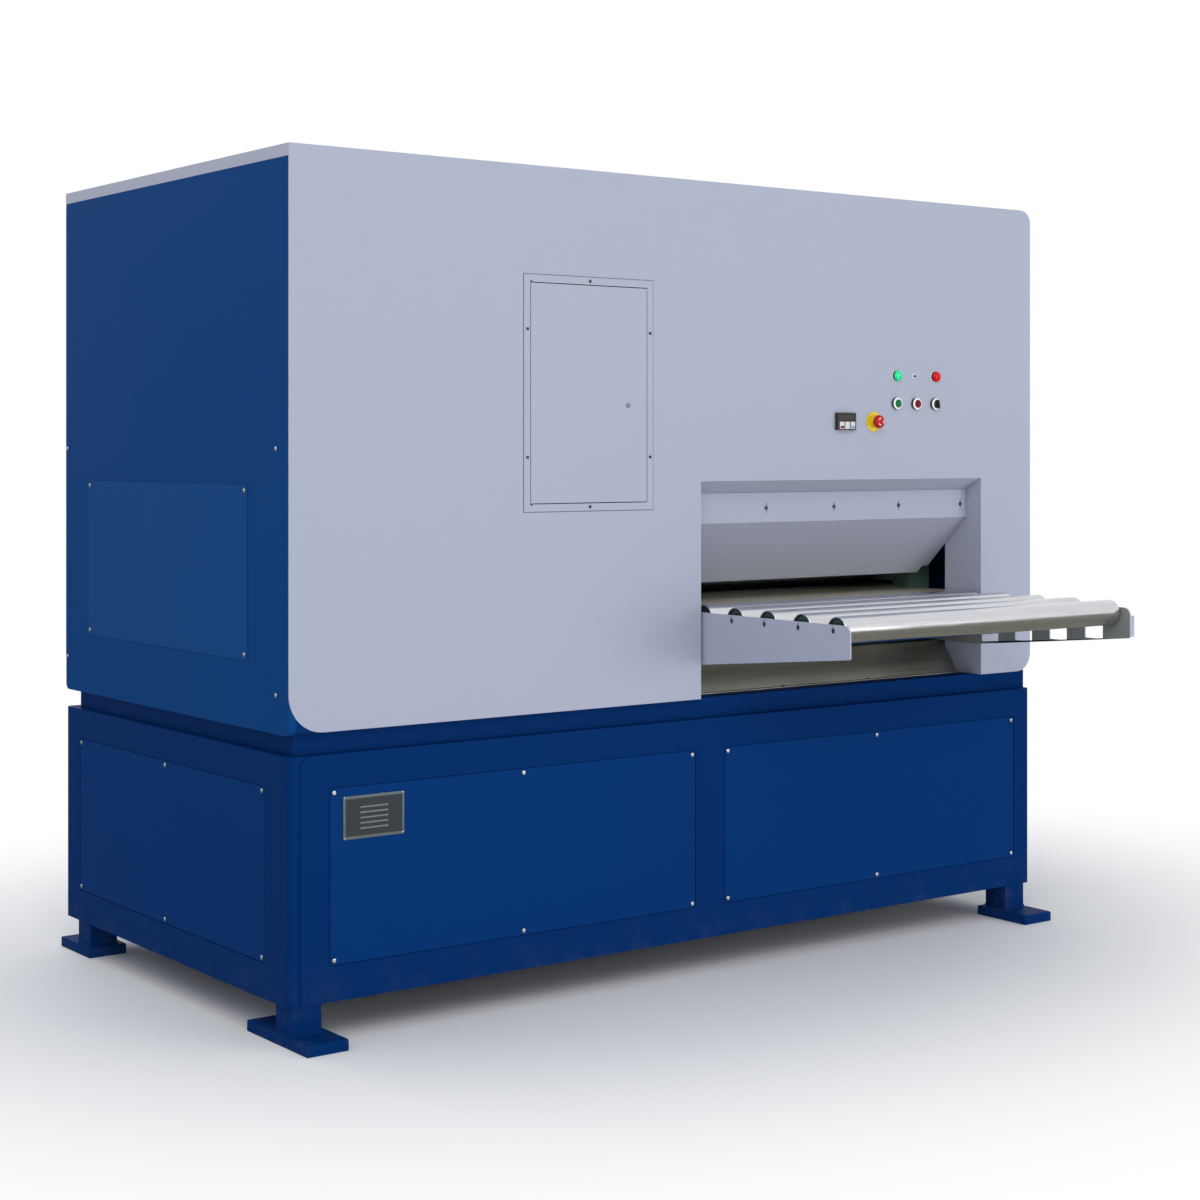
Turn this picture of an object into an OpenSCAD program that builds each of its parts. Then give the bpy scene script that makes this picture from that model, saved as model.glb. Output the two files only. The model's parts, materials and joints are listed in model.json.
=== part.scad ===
/* [Machine] */
// Overall width of the cabinet
machine_w = 3200; // [3100:10:3600]
// Depth of the cabinet without its tables
machine_d = 1650; // [1500:10:1900]
// Height from the floor to the roof
machine_h = 2690; // [2600:10:2900]
/* [Base] */
// Thickness of the foot pads
pad_t = 35; // [20:1:50]
// Width of a foot pad
pad_w = 140; // [125:1:160]
// Length of a foot pad
pad_len = 245; // [200:5:320]
// Length of the longer pad under the front left corner
long_pad_len = 380; // [250:5:420]
// Width of the square legs
leg_w = 100; // [80:1:120]
// Free height between pad and base frame
leg_h = 85; // [60:5:150]
// Height of the base frame
base_h = 744; // [650:1:800]
// Plate thickness of the base frame
base_plate = 12; // [8:1:20]
// Radius of the upright corners of the base frame
base_corner = 20; // [10:1:30]
// Height of the bed that carries the machine on the base
bed_t = 68; // [50:1:90]
// Setback of the bed from the cabinet faces
bed_inset = 30; // [20:1:45]
// Setback of the bed at the rear
bed_inset_rear = 60; // [20:1:65]
/* [Covers] */
// Thickness of the cover sheets
sheet = 3; // [2:0.5:5]
// Height of the roof's skirt over the side covers
roof_skirt = 38; // [25:1:60]
// Radius along the right edge of the roof
roof_round = 50; // [30:1:80]
// Width of the front cover to the right of the opening
pillar_w = 269; // [240:1:320]
// Width of the infeed opening
opening_w = 1356; // [1350:1:1380]
// Height of the infeed opening above the bed
opening_h = 738; // [720:1:760]
/* [Rolls] */
// Working width of the rolls
work_w = 1300; // [1250:1:1305]
// Height of the feed line above the floor
feed_h = 1250; // [1230:1:1270]
// Diameter of the levelling rolls
roll_d = 80; // [70:1:82]
// Distance between neighbouring levelling rolls
roll_pitch = 85; // [84:0.5:90]
// Number of lower rolls, one more than the upper rolls
lower_rolls = 8; // [8:1:8]
// Gap between lower and upper rolls as shown
roll_gap = 10; // [8:0.5:14]
// Diameter of the roll journals
journal_d = 45; // [36:1:50]
/* [Tables] */
// Diameter of the table idlers
idler_d = 89; // [76:1:100]
// Distance between infeed idlers
idler_pitch = 166; // [150:1:180]
// Number of infeed idlers
idlers = 5; // [5:1:5]
// Number of outfeed idlers
out_idlers = 3; // [3:1:3]
// Length of the table ahead of its last idler axle
table_nose = 80; // [70:1:120]
// Height of the side plates at the nose
nose_h = 106; // [95:1:130]
// Height of the side plates at the cabinet
root_h = 177; // [150:1:180]
/* [Door] */
// Width of the door frame
door_w = 522; // [480:1:560]
// Height of the door frame
door_h = 761; // [680:1:800]
/* [Controls] */
// Diameter of the push button collars
collar_d = 44; // [38:1:50]
// Diameter of the yellow ring under the emergency stop
stop_ring_d = 72; // [60:1:80]
/* [Hidden] */
$fn = 64;
// One overrun serves all cuts
over = 1;
// Outer faces and levels of the cabinet
left = -machine_w / 2;
right = machine_w / 2;
front = -machine_d / 2;
back = machine_d / 2;
base_z = pad_t + leg_h;
base_top = base_z + base_h;
bed_top = base_top + bed_t;
opening_top = bed_top + opening_h;
line_x = right - pillar_w - opening_w / 2;
// Colours
lavender = [0.69, 0.71, 0.79];
navy = [0.02, 0.19, 0.42];
mid_blue = [0.08, 0.24, 0.44];
steel = [0.72, 0.73, 0.75];
dark_green = [0.08, 0.16, 0.14];
black = [0.06, 0.06, 0.07];
// Feet and bed, measured from the outer faces
left_leg_in = 12;
right_leg_in = 35;
front_leg_in = 3;
rear_leg_in = 86;
leg_wall = 10;
front_pad_out = 113;
right_front_pad_out = 135;
right_pad_in = 33;
rear_pad_out = 42;
pad_bevel = 6;
bed_right_in = 5;
// Face plate and panels of the base
face_t = 3;
face_in = 38;
face_r = 40;
base_flange = 60;
panel_low = 110;
panel_high = 104;
panel_left_in = 140;
panel_mid_left = 51;
panel_mid_right = 80;
panel_right_in = 93;
side_panel_front_in = 155;
side_panel_rear_in = 127;
panel_t = 3;
panel_gap = 3;
panel_sunk = 0.5;
panel_lap = 25;
screw_in = 13;
// Screw heads
screw_d = 14;
screw_h = 4;
screw_rim = 1.5;
socket_d = 7;
socket_deep = 2.5;
screw_top_d = 8.4;
// Front cover outline
cover_r_left = 118;
cover_r_right = 70;
side_r = 22;
side_low = 6;
cover_flange = 70;
side_flange = 25;
edge_gap = 0.4;
// Left and right access panels
access_front_in = 261;
access_rear_in = 201;
access_low = 201;
access_h = 537;
access_t = 2;
access_screw_in = 17;
cover_screw_front_in = 78;
cover_screw_rear_in = 19;
cover_screw_low = 111;
cover_screw_high = 849;
// Door
door_side_in = 208;
door_top_in = 350;
door_rim = 27;
door_flange = 10;
door_deep = 24;
door_proud = 2;
leaf_gap = 3;
leaf_return = 20;
leaf_sheet = 2;
leaf_skin = 3;
hinge_in = 6;
hinge_deep = 5;
hinge_pin_d = 5;
hinge_pin_len = 8;
knuckle_d = 8;
hinge_fit = 0.05;
lock_in = 77;
lock_down = 35;
lock_d = 16;
lock_body_d = 12;
lock_out = 4;
cam_w = 16;
cam_t = 3;
cam_gap = 0.5;
lock_slot = [9, 2, 1.5];
frame_screw_in = 13;
frame_screw_share = 0.23;
// Infeed and outfeed opening linings
reveal_deep = 187;
bevel_deep = 76;
bevel_drop = 43;
bevel_flange = 90;
hood_clear = 2;
hood_fold = 104;
hood_run = 229;
hood_fall = 219;
hood_notch = [30, 26];
slot_w = 7;
slot_len = 36;
hood_screws = 5;
hood_screw_in = 34;
hood_screw_drop = 54;
// Steel sheets below and behind the tables
lip_in = 103;
lip_w = 22;
tray_angle = 57;
tray_hem = 28;
tray_screw_pitch = 412;
deck_drop = 5;
deck_t = 8;
deck_gap = 5;
deck_side_gap = 6;
deck_stand_gap = 25;
rib_t = 10;
rib_h = 145;
rib_len = 230;
rib_x = 300;
// Tables
plate_t = 6;
plate_gap = 11;
table_side_gap = 11;
plate_drop = 25;
nose_r = 28;
nose_low_r = 5;
nose_flange = 24;
idler_in = 21;
axle_d = 18;
axle_slot_w = 5;
axle_fit = 0.05;
axle_seat = 0.15;
idler_wall = 4;
idler_sunk = 9;
idler_cap = 12;
axle_end_in = 4;
bar_d = 32;
bar_gap = 5;
window_w = 82;
window_h = 54;
window_up = 5;
// Roller stands and beams
roll_end_gap = 30;
stand_t = 100;
stand_half = 450;
stand_top = 2100;
window_half = 350;
window_low = 198;
window_tall = 670;
guide_gap = 0.5;
beam_gap = 1;
rail_t = 20;
beam_low_h = 218;
block_h = 116;
upper_block_h = 138;
block_step = 16;
roll_clear = 12;
girder_half = 330;
girder_h = 348;
girder_low_t = 40;
girder_top_t = 30;
web_t = 30;
web_y = 200;
rib_count = 6;
rib_web_t = 25;
fit = 0.05;
// Jacks
jack_y = 230;
jack_d = 50;
jack_bore = 54;
jack_up = 870;
jack_box = [160, 170, 120];
jack_motor_d = 110;
jack_motor_len = 210;
jack_tube_d = 74;
jack_tube_h = 90;
// Drive line
journal_out = 30;
journal_end = 5;
coupling_d = 70;
coupling_len = 70;
coupling_neck = 20;
coupling_neck_d = 46;
shaft_d = 50;
gear_w = 300;
gear_half = 370;
gear_up = 250;
boss_d = 75;
boss_t = 10;
stub_gap = 5;
stub_deep = 60;
open_gap = 0.3;
input_d = 60;
input_deep = 50;
clutch_d = 150;
clutch_core_d = 120;
clutch_len = 55;
clutch_gap = 12;
motor_gap = 145;
motor_side_gap = 65;
reducer = [240, 340, 360];
motor_d = 320;
motor_len = 250;
motor_fin = 12;
motor_fins = 24;
motor_plinth = [230, 400];
fan_len = 50;
// Electric box behind the door
box_side = 25;
box_deep = 300;
box_sheet = 2;
box_flange = 18;
back_plate = 3;
drive_size = [190, 150, 300];
relay_size = [52, 80, 86];
relays = 4;
relay_pitch = 74;
rail_size = [400, 40, 46];
duct_size = [430, 60, 40];
unit_in = 60;
// Controls, measured from the opening's top and its middle line
lamp_up = 376;
button_up = 275;
low_up = 208;
green_right = 236;
mid_right = 335;
red_right = 432;
pilot_right = 327;
estop_right = 124;
counter_left = 20;
lamp_d = 40;
lamp_rim = 4;
lamp_wall = 8;
dome_r = 26;
pilot_d = 14;
pilot_h = 5;
pilot_dome = 4;
pilot_top_d = 8.4;
collar_h = 14;
cap_d = 28.4;
cap_fit = 0.3;
cap_out = 3;
cap_h = 10;
cap_deep = 12;
sleeve_d = 21.6;
sleeve_hole = 22;
sleeve_len = 28;
stem_d = 12;
stem_len = 24;
sleeve_bore = stem_d + 2 * fit;
knob_bar = [9, 12, 34];
estop_d = 48;
estop_h = 18;
estop_edge = 6;
estop_boss_d = 36;
estop_boss_h = 12;
estop_stem_d = 22;
estop_travel = 8;
ring_t = 3;
counter_size = [88, 16, 62];
counter_lip = 4;
counter_sunk = 2;
counter_key = [17, 3, 17];
counter_key_pitch = 24;
counter_key_up = 7;
counter_window_up = 30;
plate_size = [215, 2, 131];
nameplate_in = 184;
nameplate_up = 481;
plate_rim = 8;
plate_sunk = 1;
// Places worked out from the sizes above
stand_in = work_w / 2 + roll_end_gap;
stand_out = stand_in + stand_t;
window_z = bed_top + window_low;
low_axis = feed_h - roll_d / 2;
high_axis = feed_h + roll_gap + roll_d / 2;
block_z = window_z;
upper_block_z = block_z + block_h + block_step;
girder_z = high_axis + roll_d / 2 + roll_clear;
axle_z = feed_h - idler_d / 2;
plate_out = opening_w / 2 - table_side_gap;
idler_half = plate_out - plate_t - plate_gap;
plate_top = feed_h - plate_drop;
table_end = idler_in - (idlers - 1) * idler_pitch - table_nose;
gear_x = left + motor_side_gap + motor_len + reducer[0] + motor_gap + gear_w;
rail_y = stand_half + rail_t;
hood_screw_pitch = (opening_w - 2 * hood_screw_in) / (hood_screws - 1);
lamp_z = opening_top + lamp_up;
button_z = opening_top + button_up;
low_z = opening_top + low_up;
green_x = line_x + green_right;
mid_x = line_x + mid_right;
red_x = line_x + red_right;
pilot_x = line_x + pilot_right;
estop_x = line_x + estop_right;
counter_x = line_x - counter_left;
door_x = line_x - opening_w / 2 - door_side_in - door_w;
door_z = machine_h - door_top_in - door_h;
drive_z = (low_axis + high_axis) / 2;
leaf_x0 = door_x + door_rim;
leaf_x1 = door_x + door_w - door_rim;
leaf_z0 = door_z + door_rim;
leaf_z1 = door_z + door_h - door_rim;

// Helpers
module bar(x, y, z) {
  translate([x[0], y[0], z[0]]) cube([x[1] - x[0], y[1] - y[0], z[1] - z[0]]);
}
module round_bar(y, z, x, d) {
  translate([x[0], y, z]) rotate([0, 90, 0]) cylinder(d = d, h = x[1] - x[0]);
}
module pin_y(x, z, y, d) {
  translate([x, y[0], z]) rotate([-90, 0, 0]) cylinder(d = d, h = y[1] - y[0]);
}
module pin_z(x, y, z, d) {
  translate([x, y, z[0]]) cylinder(d = d, h = z[1] - z[0]);
}
// A flat shape drawn in X and Z, standing from depth y to y + t
module face_xz(y, t) {
  translate([0, y + t, 0]) rotate([90, 0, 0]) linear_extrude(t) children();
}
// A flat shape drawn in Y and Z, standing from x to x + t
module face_yz(x, t) {
  translate([x, 0, 0]) rotate([90, 0, 90]) linear_extrude(t) children();
}
module corner_cut(p, turn, r) {
  translate(p) rotate(turn) difference() {
    translate([-over, -over]) square(r + over);
    translate([r, r]) circle(r);
  }
}
// Rectangle with its own radius at each corner: low left, low right, high right, high left
module outline(x, z, r) {
  difference() {
    translate([x[0], z[0]]) square([x[1] - x[0], z[1] - z[0]]);
    if (r[0] > 0) corner_cut([x[0], z[0]], 0, r[0]);
    if (r[1] > 0) corner_cut([x[1], z[0]], 90, r[1]);
    if (r[2] > 0) corner_cut([x[1], z[1]], 180, r[2]);
    if (r[3] > 0) corner_cut([x[0], z[1]], 270, r[3]);
  }
}
// Outline of a folded sheet of thickness t along the points p
function way(a, b) = (b - a) / norm(b - a);
function side(d) = [-d[1], d[0]];
function fold_in(p, i, t) =
  let (a = side(way(p[max(i - 1, 0)], p[max(i, 1)])))
  let (b = side(way(p[min(i, len(p) - 2)], p[min(i + 1, len(p) - 1)])))
  p[i] + t * (a + b) / (1 + a * b);
function folded(p, t) = concat(p, [for (i = [len(p) - 1:-1:0]) fold_in(p, i, t)]);
module both_ends() {
  children();
  mirror([0, 1, 0]) children();
}
module both_sides() {
  children();
  translate([2 * line_x, 0, 0]) mirror([1, 0, 0]) children();
}

// Places shared by the feet, the panels and their screws
front_panels = [[left + panel_left_in, -panel_mid_left], [panel_mid_right, right - panel_right_in]];
side_panel = [front + side_panel_front_in, back - side_panel_rear_in];
panel_z = [base_z + panel_low, base_top - panel_high];
leg_x = [left + left_leg_in, right - right_leg_in - leg_w];
leg_y = [front + front_leg_in, back - rear_leg_in - leg_w];
access_y = [front + access_front_in, back - access_rear_in];
access_z = [bed_top + access_low, bed_top + access_low + access_h];
open_x = [line_x - opening_w / 2, line_x + opening_w / 2];
hood_y = front + bevel_deep;
hood_top = opening_top - bevel_drop - edge_gap;
beam_x = [line_x - stand_in, line_x + stand_in];

function grown(r, by) = [r[0] - by, r[1] + by];
function lower_y(k) = (k - (lower_rolls + 1) / 2) * roll_pitch;
function upper_y(k) = (k - lower_rolls / 2) * roll_pitch;
function idler_y(k) = front + idler_in - (k - 1) * idler_pitch;
function out_idler_y(k) = -idler_y(1 + (k - 1) * (idlers - 1) / (out_idlers - 1));

// Base
module panel_cut(x) {
  face_xz(front - over, over + panel_sunk + panel_t)
    outline(grown(x, panel_gap), grown(panel_z, panel_gap), [0, 0, 0, 0]);
  face_xz(front - over, over + face_t + base_plate + over)
    outline(grown(x, -panel_lap), grown(panel_z, -panel_lap), [0, 0, 0, 0]);
}
module side_panel_cut() {
  face_yz(left - over, over + panel_sunk + panel_t)
    outline(grown(side_panel, panel_gap), grown(panel_z, panel_gap), [0, 0, 0, 0]);
  face_yz(left - over, over + base_plate + over)
    outline(grown(side_panel, -panel_lap), grown(panel_z, -panel_lap), [0, 0, 0, 0]);
}
module base_frame() {
  color(navy) difference() {
    union() {
      translate([0, 0, base_z]) linear_extrude(base_h)
        outline([left, right], [front + face_t, back - face_t],
          [base_corner, base_corner, base_corner, base_corner]);
      both_ends() face_xz(front, face_t + base_plate)
        outline([left + face_in, right - face_in], [base_z, base_top], [0, 0, face_r, face_r]);
      for (x = leg_x, y = leg_y)
        bar([x, x + leg_w], [y, y + leg_w], [pad_t, base_z + base_plate]);
    }
    bar([left + base_plate, right - base_plate], [front + face_t + base_plate, back - face_t - base_plate],
      [base_z + base_plate, base_top - base_plate]);
    bar([left + base_flange + leg_w, right - base_flange - leg_w],
      [front + base_flange + leg_w, back - base_flange - leg_w - rear_leg_in],
      [base_z - over, base_z + base_plate + over]);
    for (x = leg_x, y = leg_y)
      bar([x + leg_wall, x + leg_w - leg_wall], [y + leg_wall, y + leg_w - leg_wall],
        [pad_t - over, base_z]);
    both_ends() for (x = front_panels) panel_cut(x);
    side_panel_cut();
    mirror([1, 0, 0]) side_panel_cut();
  }
}
module foot_pad(x, y, length) {
  difference() {
    bar([x, x + pad_w], [y, y + length], [0, pad_t]);
    translate([x, y, pad_t]) rotate([45, 0, 0])
      cube([2 * (pad_w + over), pad_bevel, pad_bevel], center = true);
    translate([x, y + length, pad_t]) rotate([45, 0, 0])
      cube([2 * (pad_w + over), pad_bevel, pad_bevel], center = true);
  }
}
module foot_pads() {
  color(navy) {
    foot_pad(left, front - front_pad_out, long_pad_len);
    foot_pad(right - right_pad_in - pad_w, front - right_front_pad_out, pad_len);
    foot_pad(left, back + rear_pad_out - pad_len, pad_len);
    foot_pad(right - right_pad_in - pad_w, back + rear_pad_out - pad_len, pad_len);
  }
}
module base_panels() {
  color(mid_blue) {
    both_ends() for (x = front_panels)
      face_xz(front + panel_sunk, panel_t) outline(x, panel_z, [0, 0, 0, 0]);
    for (turn = [0, 1]) mirror([turn, 0, 0])
      face_yz(left + panel_sunk, panel_t) outline(side_panel, panel_z, [0, 0, 0, 0]);
  }
}
module bed_plate() {
  color(navy) bar([left + bed_inset, right - bed_right_in], [front + bed_inset, back - bed_inset_rear],
    [base_top, bed_top]);
}

// Screws, with heads that point along +Z before they are turned
module screw() {
  difference() {
    union() {
      cylinder(d = screw_d, h = screw_h - screw_rim);
      translate([0, 0, screw_h - screw_rim])
        cylinder(d1 = screw_d, d2 = screw_top_d, h = screw_rim);
    }
    translate([0, 0, screw_h - socket_deep]) cylinder(d = socket_d, h = socket_deep + over, $fn = 6);
  }
}
module front_screws(y, xs, zs) {
  for (x = xs, z = zs) translate([x, y, z]) rotate([90, 0, 0]) screw();
}
module side_screws(x, ys, zs) {
  for (turn = [0, 1]) mirror([turn, 0, 0])
    for (y = ys, z = zs) translate([x, y, z]) rotate([0, -90, 0]) screw();
}
function three(r) = [r[0] + screw_in, (r[0] + r[1]) / 2, r[1] - screw_in];
module panel_screws() {
  color(steel) {
    both_ends() for (x = front_panels)
      front_screws(front + panel_sunk, three(x), [panel_z[0] + screw_in, panel_z[1] - screw_in]);
    side_screws(left + panel_sunk, three(side_panel), [panel_z[0] + screw_in, panel_z[1] - screw_in]);
    side_screws(left, [front + cover_screw_front_in, back - cover_screw_rear_in],
      [bed_top + cover_screw_low, bed_top + cover_screw_high]);
    side_screws(left - access_t, grown(access_y, -access_screw_in), grown(access_z, -access_screw_in));
    front_screws(front - door_proud, [door_x + door_w / 2],
      [door_z + frame_screw_in, door_z + door_h - frame_screw_in]);
    front_screws(front - door_proud, [door_x + frame_screw_in, door_x + door_w - frame_screw_in],
      [door_z + door_h * frame_screw_share, door_z + door_h * (1 - frame_screw_share)]);
    both_ends() front_screws(hood_y, [for (k = [0:hood_screws - 1])
      line_x + (k - (hood_screws - 1) / 2) * hood_screw_pitch], [hood_top - hood_screw_drop]);
    both_ends() for (turn = [-1, 1])
      translate([line_x + turn * tray_screw_pitch / 2, front + lip_in + lip_w / 2, bed_top + sheet]) screw();
  }
}

// Covers
module cover_face(y, top, r) {
  difference() {
    face_xz(y, sheet) outline([left, right], [bed_top, top], r);
    bar(open_x, [y - over, y + sheet + over], [bed_top - over, opening_top]);
  }
}
module cover_foot() {
  bar([left + cover_r_left, open_x[0] - sheet - edge_gap], [front, front + cover_flange],
    [bed_top, bed_top + sheet]);
  bar([open_x[1] + sheet + edge_gap, right - cover_r_right], [front, front + cover_flange],
    [bed_top, bed_top + sheet]);
}
control_places = [
  [green_x, lamp_z], [red_x, lamp_z], [green_x, button_z], [mid_x, button_z],
  [red_x, button_z], [estop_x, low_z]
];
module front_cover() {
  color(lavender) {
    difference() {
      cover_face(front, machine_h, [cover_r_left, cover_r_right, roof_round, 0]);
      bar(grown([door_x + door_flange, door_x + door_w - door_flange], edge_gap),
        [front - over, front + sheet + over],
        grown([door_z + door_flange, door_z + door_h - door_flange], edge_gap));
      for (p = control_places) pin_y(p[0], p[1], [front - over, front + sheet + over], sleeve_hole);
    }
    cover_foot();
  }
}
module rear_cover() {
  color(lavender) {
    cover_face(back - sheet, machine_h - roof_skirt,
      [cover_r_left, cover_r_right, roof_round - roof_skirt, 0]);
    mirror([0, 1, 0]) cover_foot();
  }
}
module side_pan(x, z, r) {
  y = [front + sheet, back - sheet];
  face_yz(x, sheet) outline(y, z, r);
  face_yz(x, sheet + side_flange) difference() {
    outline(y, z, r);
    outline(grown(y, -sheet), grown(z, -sheet), [for (v = r) v - sheet]);
  }
}
module left_side_cover() {
  color(mid_blue) side_pan(left, [bed_top - side_low, machine_h - roof_skirt],
    [side_r, side_r, side_r, side_r]);
}
module right_side_cover() {
  color(mid_blue) mirror([1, 0, 0]) side_pan(left, [bed_top, machine_h - roof_round],
    [cover_r_right, side_r, side_r, side_r]);
}
module top_cover() {
  color(lavender) {
    difference() {
      face_xz(front + sheet, machine_d - 2 * sheet)
        outline([left, right], [machine_h - roof_round, machine_h], [0, 0, roof_round, 0]);
      face_xz(front, machine_d + over)
        outline([left + sheet, right - sheet], [machine_h - roof_round - over, machine_h - sheet],
          [0, 0, roof_round - sheet, 0]);
      bar([left - over, left + sheet + over], [front, back + over],
        [machine_h - roof_round - over, machine_h - roof_skirt]);
    }
    difference() {
      face_xz(back - sheet, sheet)
        outline([left, right], [machine_h - roof_round, machine_h], [0, 0, roof_round, 0]);
      bar([left - over, right + over], [back - sheet - over, back + over],
        [machine_h - roof_round - over, machine_h - roof_skirt]);
    }
  }
}
module side_access_panels() {
  color(mid_blue) for (turn = [0, 1]) mirror([turn, 0, 0])
    face_yz(left - access_t, access_t) outline(access_y, access_z, [0, 0, 0, 0]);
}

// Door of the electric box
hinge_x = leaf_x0 + hinge_in;
hinge_y = front - door_proud + hinge_deep;
module door_frame() {
  color(lavender) difference() {
    union() {
      face_xz(front - door_proud, door_proud)
        outline([door_x, door_x + door_w], [door_z, door_z + door_h], [0, 0, 0, 0]);
      face_xz(front - door_proud, door_deep)
        outline([door_x + door_flange, door_x + door_w - door_flange],
          [door_z + door_flange, door_z + door_h - door_flange], [0, 0, 0, 0]);
    }
    face_xz(front - door_proud - over, door_deep + 2 * over)
      outline(grown([leaf_x0, leaf_x1], leaf_gap), grown([leaf_z0, leaf_z1], leaf_gap), [0, 0, 0, 0]);
    pin_z(hinge_x, hinge_y, [leaf_z0 - hinge_pin_len - over, leaf_z1 + hinge_pin_len + over],
      hinge_pin_d + 2 * hinge_fit);
  }
}
lock_x = leaf_x1 - lock_in;
lock_z = (leaf_z0 + leaf_z1) / 2 - lock_down;
module door_leaf() {
  y = front - door_proud;
  color(lavender) difference() {
    union() {
      face_xz(y, leaf_skin) outline([leaf_x0, leaf_x1], [leaf_z0, leaf_z1], [0, 0, 0, 0]);
      face_xz(y, leaf_skin + leaf_return) difference() {
        outline([leaf_x0, leaf_x1], [leaf_z0, leaf_z1], [0, 0, 0, 0]);
        outline(grown([leaf_x0, leaf_x1], -leaf_sheet), grown([leaf_z0, leaf_z1], -leaf_sheet),
          [0, 0, 0, 0]);
      }
      for (z = [leaf_z0, leaf_z1 - leaf_return]) {
        pin_z(hinge_x, hinge_y, [z, z + leaf_return], knuckle_d);
        pin_z(hinge_x, hinge_y, [z - hinge_pin_len, z + leaf_return + hinge_pin_len], hinge_pin_d);
      }
    }
    pin_y(lock_x, lock_z, [y - over, y + leaf_skin + over], lock_body_d + 2 * hinge_fit);
  }
}
module door_lock() {
  y = front - door_proud;
  cam_y = y + door_deep + cam_gap;
  color(steel) difference() {
    union() {
      pin_y(lock_x, lock_z, [y - lock_out, y], lock_d);
      pin_y(lock_x, lock_z, [y - over, cam_y + cam_t], lock_body_d);
      bar(grown([lock_x, lock_x], cam_w / 2), [cam_y, cam_y + cam_t],
        [lock_z - lock_in - leaf_gap - cam_w / 2, lock_z]);
    }
    bar(grown([lock_x, lock_x], lock_slot[1] / 2), [y - lock_out - over, y - lock_out + lock_slot[2]],
      grown([lock_z, lock_z], lock_slot[0] / 2));
  }
}

// Linings, hoods and steel sheets of the two openings
module opening_reveal() {
  y = [front + sheet, front + bevel_deep + sheet, front + reveal_deep];
  z = [opening_top, opening_top - bevel_drop, opening_top - bevel_drop - bevel_flange];
  face_yz(open_x[0] - sheet, opening_w + 2 * sheet)
    polygon(folded([[y[0], z[0]], [y[1], z[1]], [y[1], z[2]]], sheet));
  both_sides() face_yz(open_x[1], sheet)
    polygon([[y[0], bed_top], [y[2], bed_top], [y[2], z[2]], [y[1] + sheet, z[1]], [y[0], z[0] + sheet]]);
}
module opening_reveals() {
  color(lavender) both_ends() opening_reveal();
}
module guard_hood() {
  fold_z = hood_top - hood_fold;
  difference() {
    face_yz(open_x[0] + hood_clear, opening_w - 2 * hood_clear)
      polygon(folded([[hood_y, hood_top], [hood_y, fold_z],
        [hood_y + hood_run, fold_z - hood_fall]], sheet));
    for (k = [0:hood_screws - 1]) translate([line_x + (k - (hood_screws - 1) / 2) * hood_screw_pitch,
      hood_y - over, hood_top - hood_screw_drop]) {
      translate([-slot_w / 2, 0, -slot_len / 2]) cube([slot_w, sheet + 2 * over, slot_len]);
    }
    both_sides() bar([open_x[1] - hood_clear - hood_notch[0], open_x[1] + over],
      [hood_y, hood_y + hood_run + 2 * sheet],
      [fold_z - hood_fall - over, fold_z - hood_fall + hood_notch[1]]);
  }
}
module guard_hoods() {
  color(lavender) both_ends() guard_hood();
}
tray_rise = plate_top - root_h - sheet - bed_top;
tray_y = front + lip_in;
module tray() {
  run = tray_rise / tan(tray_angle);
  face_yz(open_x[0] + edge_gap, opening_w - 2 * edge_gap)
    polygon(folded([[tray_y, bed_top], [tray_y + lip_w, bed_top],
      [tray_y + lip_w + run, bed_top + tray_rise],
      [tray_y + lip_w + run + tray_hem, bed_top + tray_rise]], sheet));
}
module deck() {
  top = feed_h - deck_drop;
  half = plate_out - plate_t - deck_side_gap;
  bar(grown([line_x, line_x], half),
    [idler_y(1) + idler_d / 2 + deck_gap, -rail_y], [top - deck_t, top]);
  bar(grown([line_x, line_x], min(half, stand_in - deck_stand_gap)),
    [-rail_y - over, lower_y(1) - roll_d / 2 - deck_gap], [top - deck_t, top]);
  for (x = [-rib_x, rib_x])
    bar([line_x + x - rib_t / 2, line_x + x + rib_t / 2], [-rail_y - rib_len, -rail_y],
      [top - rib_h, top - deck_t]);
}
module steel_guides() {
  color(steel) both_ends() {
    tray();
    deck();
  }
}

// Roller tables
end_y = front + table_end;
plate_x = [line_x - plate_out, line_x + plate_out - plate_t];
function plate_low(y) = plate_top - root_h + (root_h - nose_h) * (front - y) / (front - end_y);
module plate_shape(ys, cut_windows) {
  difference() {
    polygon([
      [-rail_y, plate_top - root_h], [front, plate_top - root_h],
      [end_y + nose_low_r, plate_low(end_y)], [end_y, plate_low(end_y) + nose_low_r],
      [end_y, plate_top], [-rail_y, plate_top]
    ]);
    corner_cut([end_y, plate_top], 270, nose_r);
    for (y = ys) {
      translate([y, axle_z]) circle(d = axle_d + 2 * axle_seat);
      translate([y - axle_slot_w / 2, axle_z]) square([axle_slot_w, plate_top - axle_z + over]);
    }
    if (cut_windows) for (k = [1:idlers - 1]) {
      y = (idler_y(k) + idler_y(k + 1)) / 2;
      translate([y - window_w / 2, plate_low(y) + window_up]) square([window_w, window_h]);
    }
  }
}
module table_frame(ys) {
  face_yz(plate_x[0], plate_t) plate_shape(ys, false);
  face_yz(plate_x[1], plate_t) plate_shape(ys, true);
  bar([plate_x[1], plate_x[1] + nose_flange], [end_y, end_y + plate_t],
    [plate_low(end_y) + nose_low_r, plate_top - nose_r]);
  for (k = [1:2:idlers - 2]) round_bar(idler_y(k), axle_z - idler_d / 2 - bar_gap - bar_d / 2,
    [plate_x[0] + plate_t / 2, plate_x[1] + plate_t / 2], bar_d);
}
in_ys = [for (k = [1:idlers]) idler_y(k)];
out_ys = [for (k = [1:out_idlers]) -out_idler_y(k)];
module table_frames() {
  color(lavender) {
    table_frame(in_ys);
    mirror([0, 1, 0]) table_frame(out_ys);
  }
}
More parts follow.
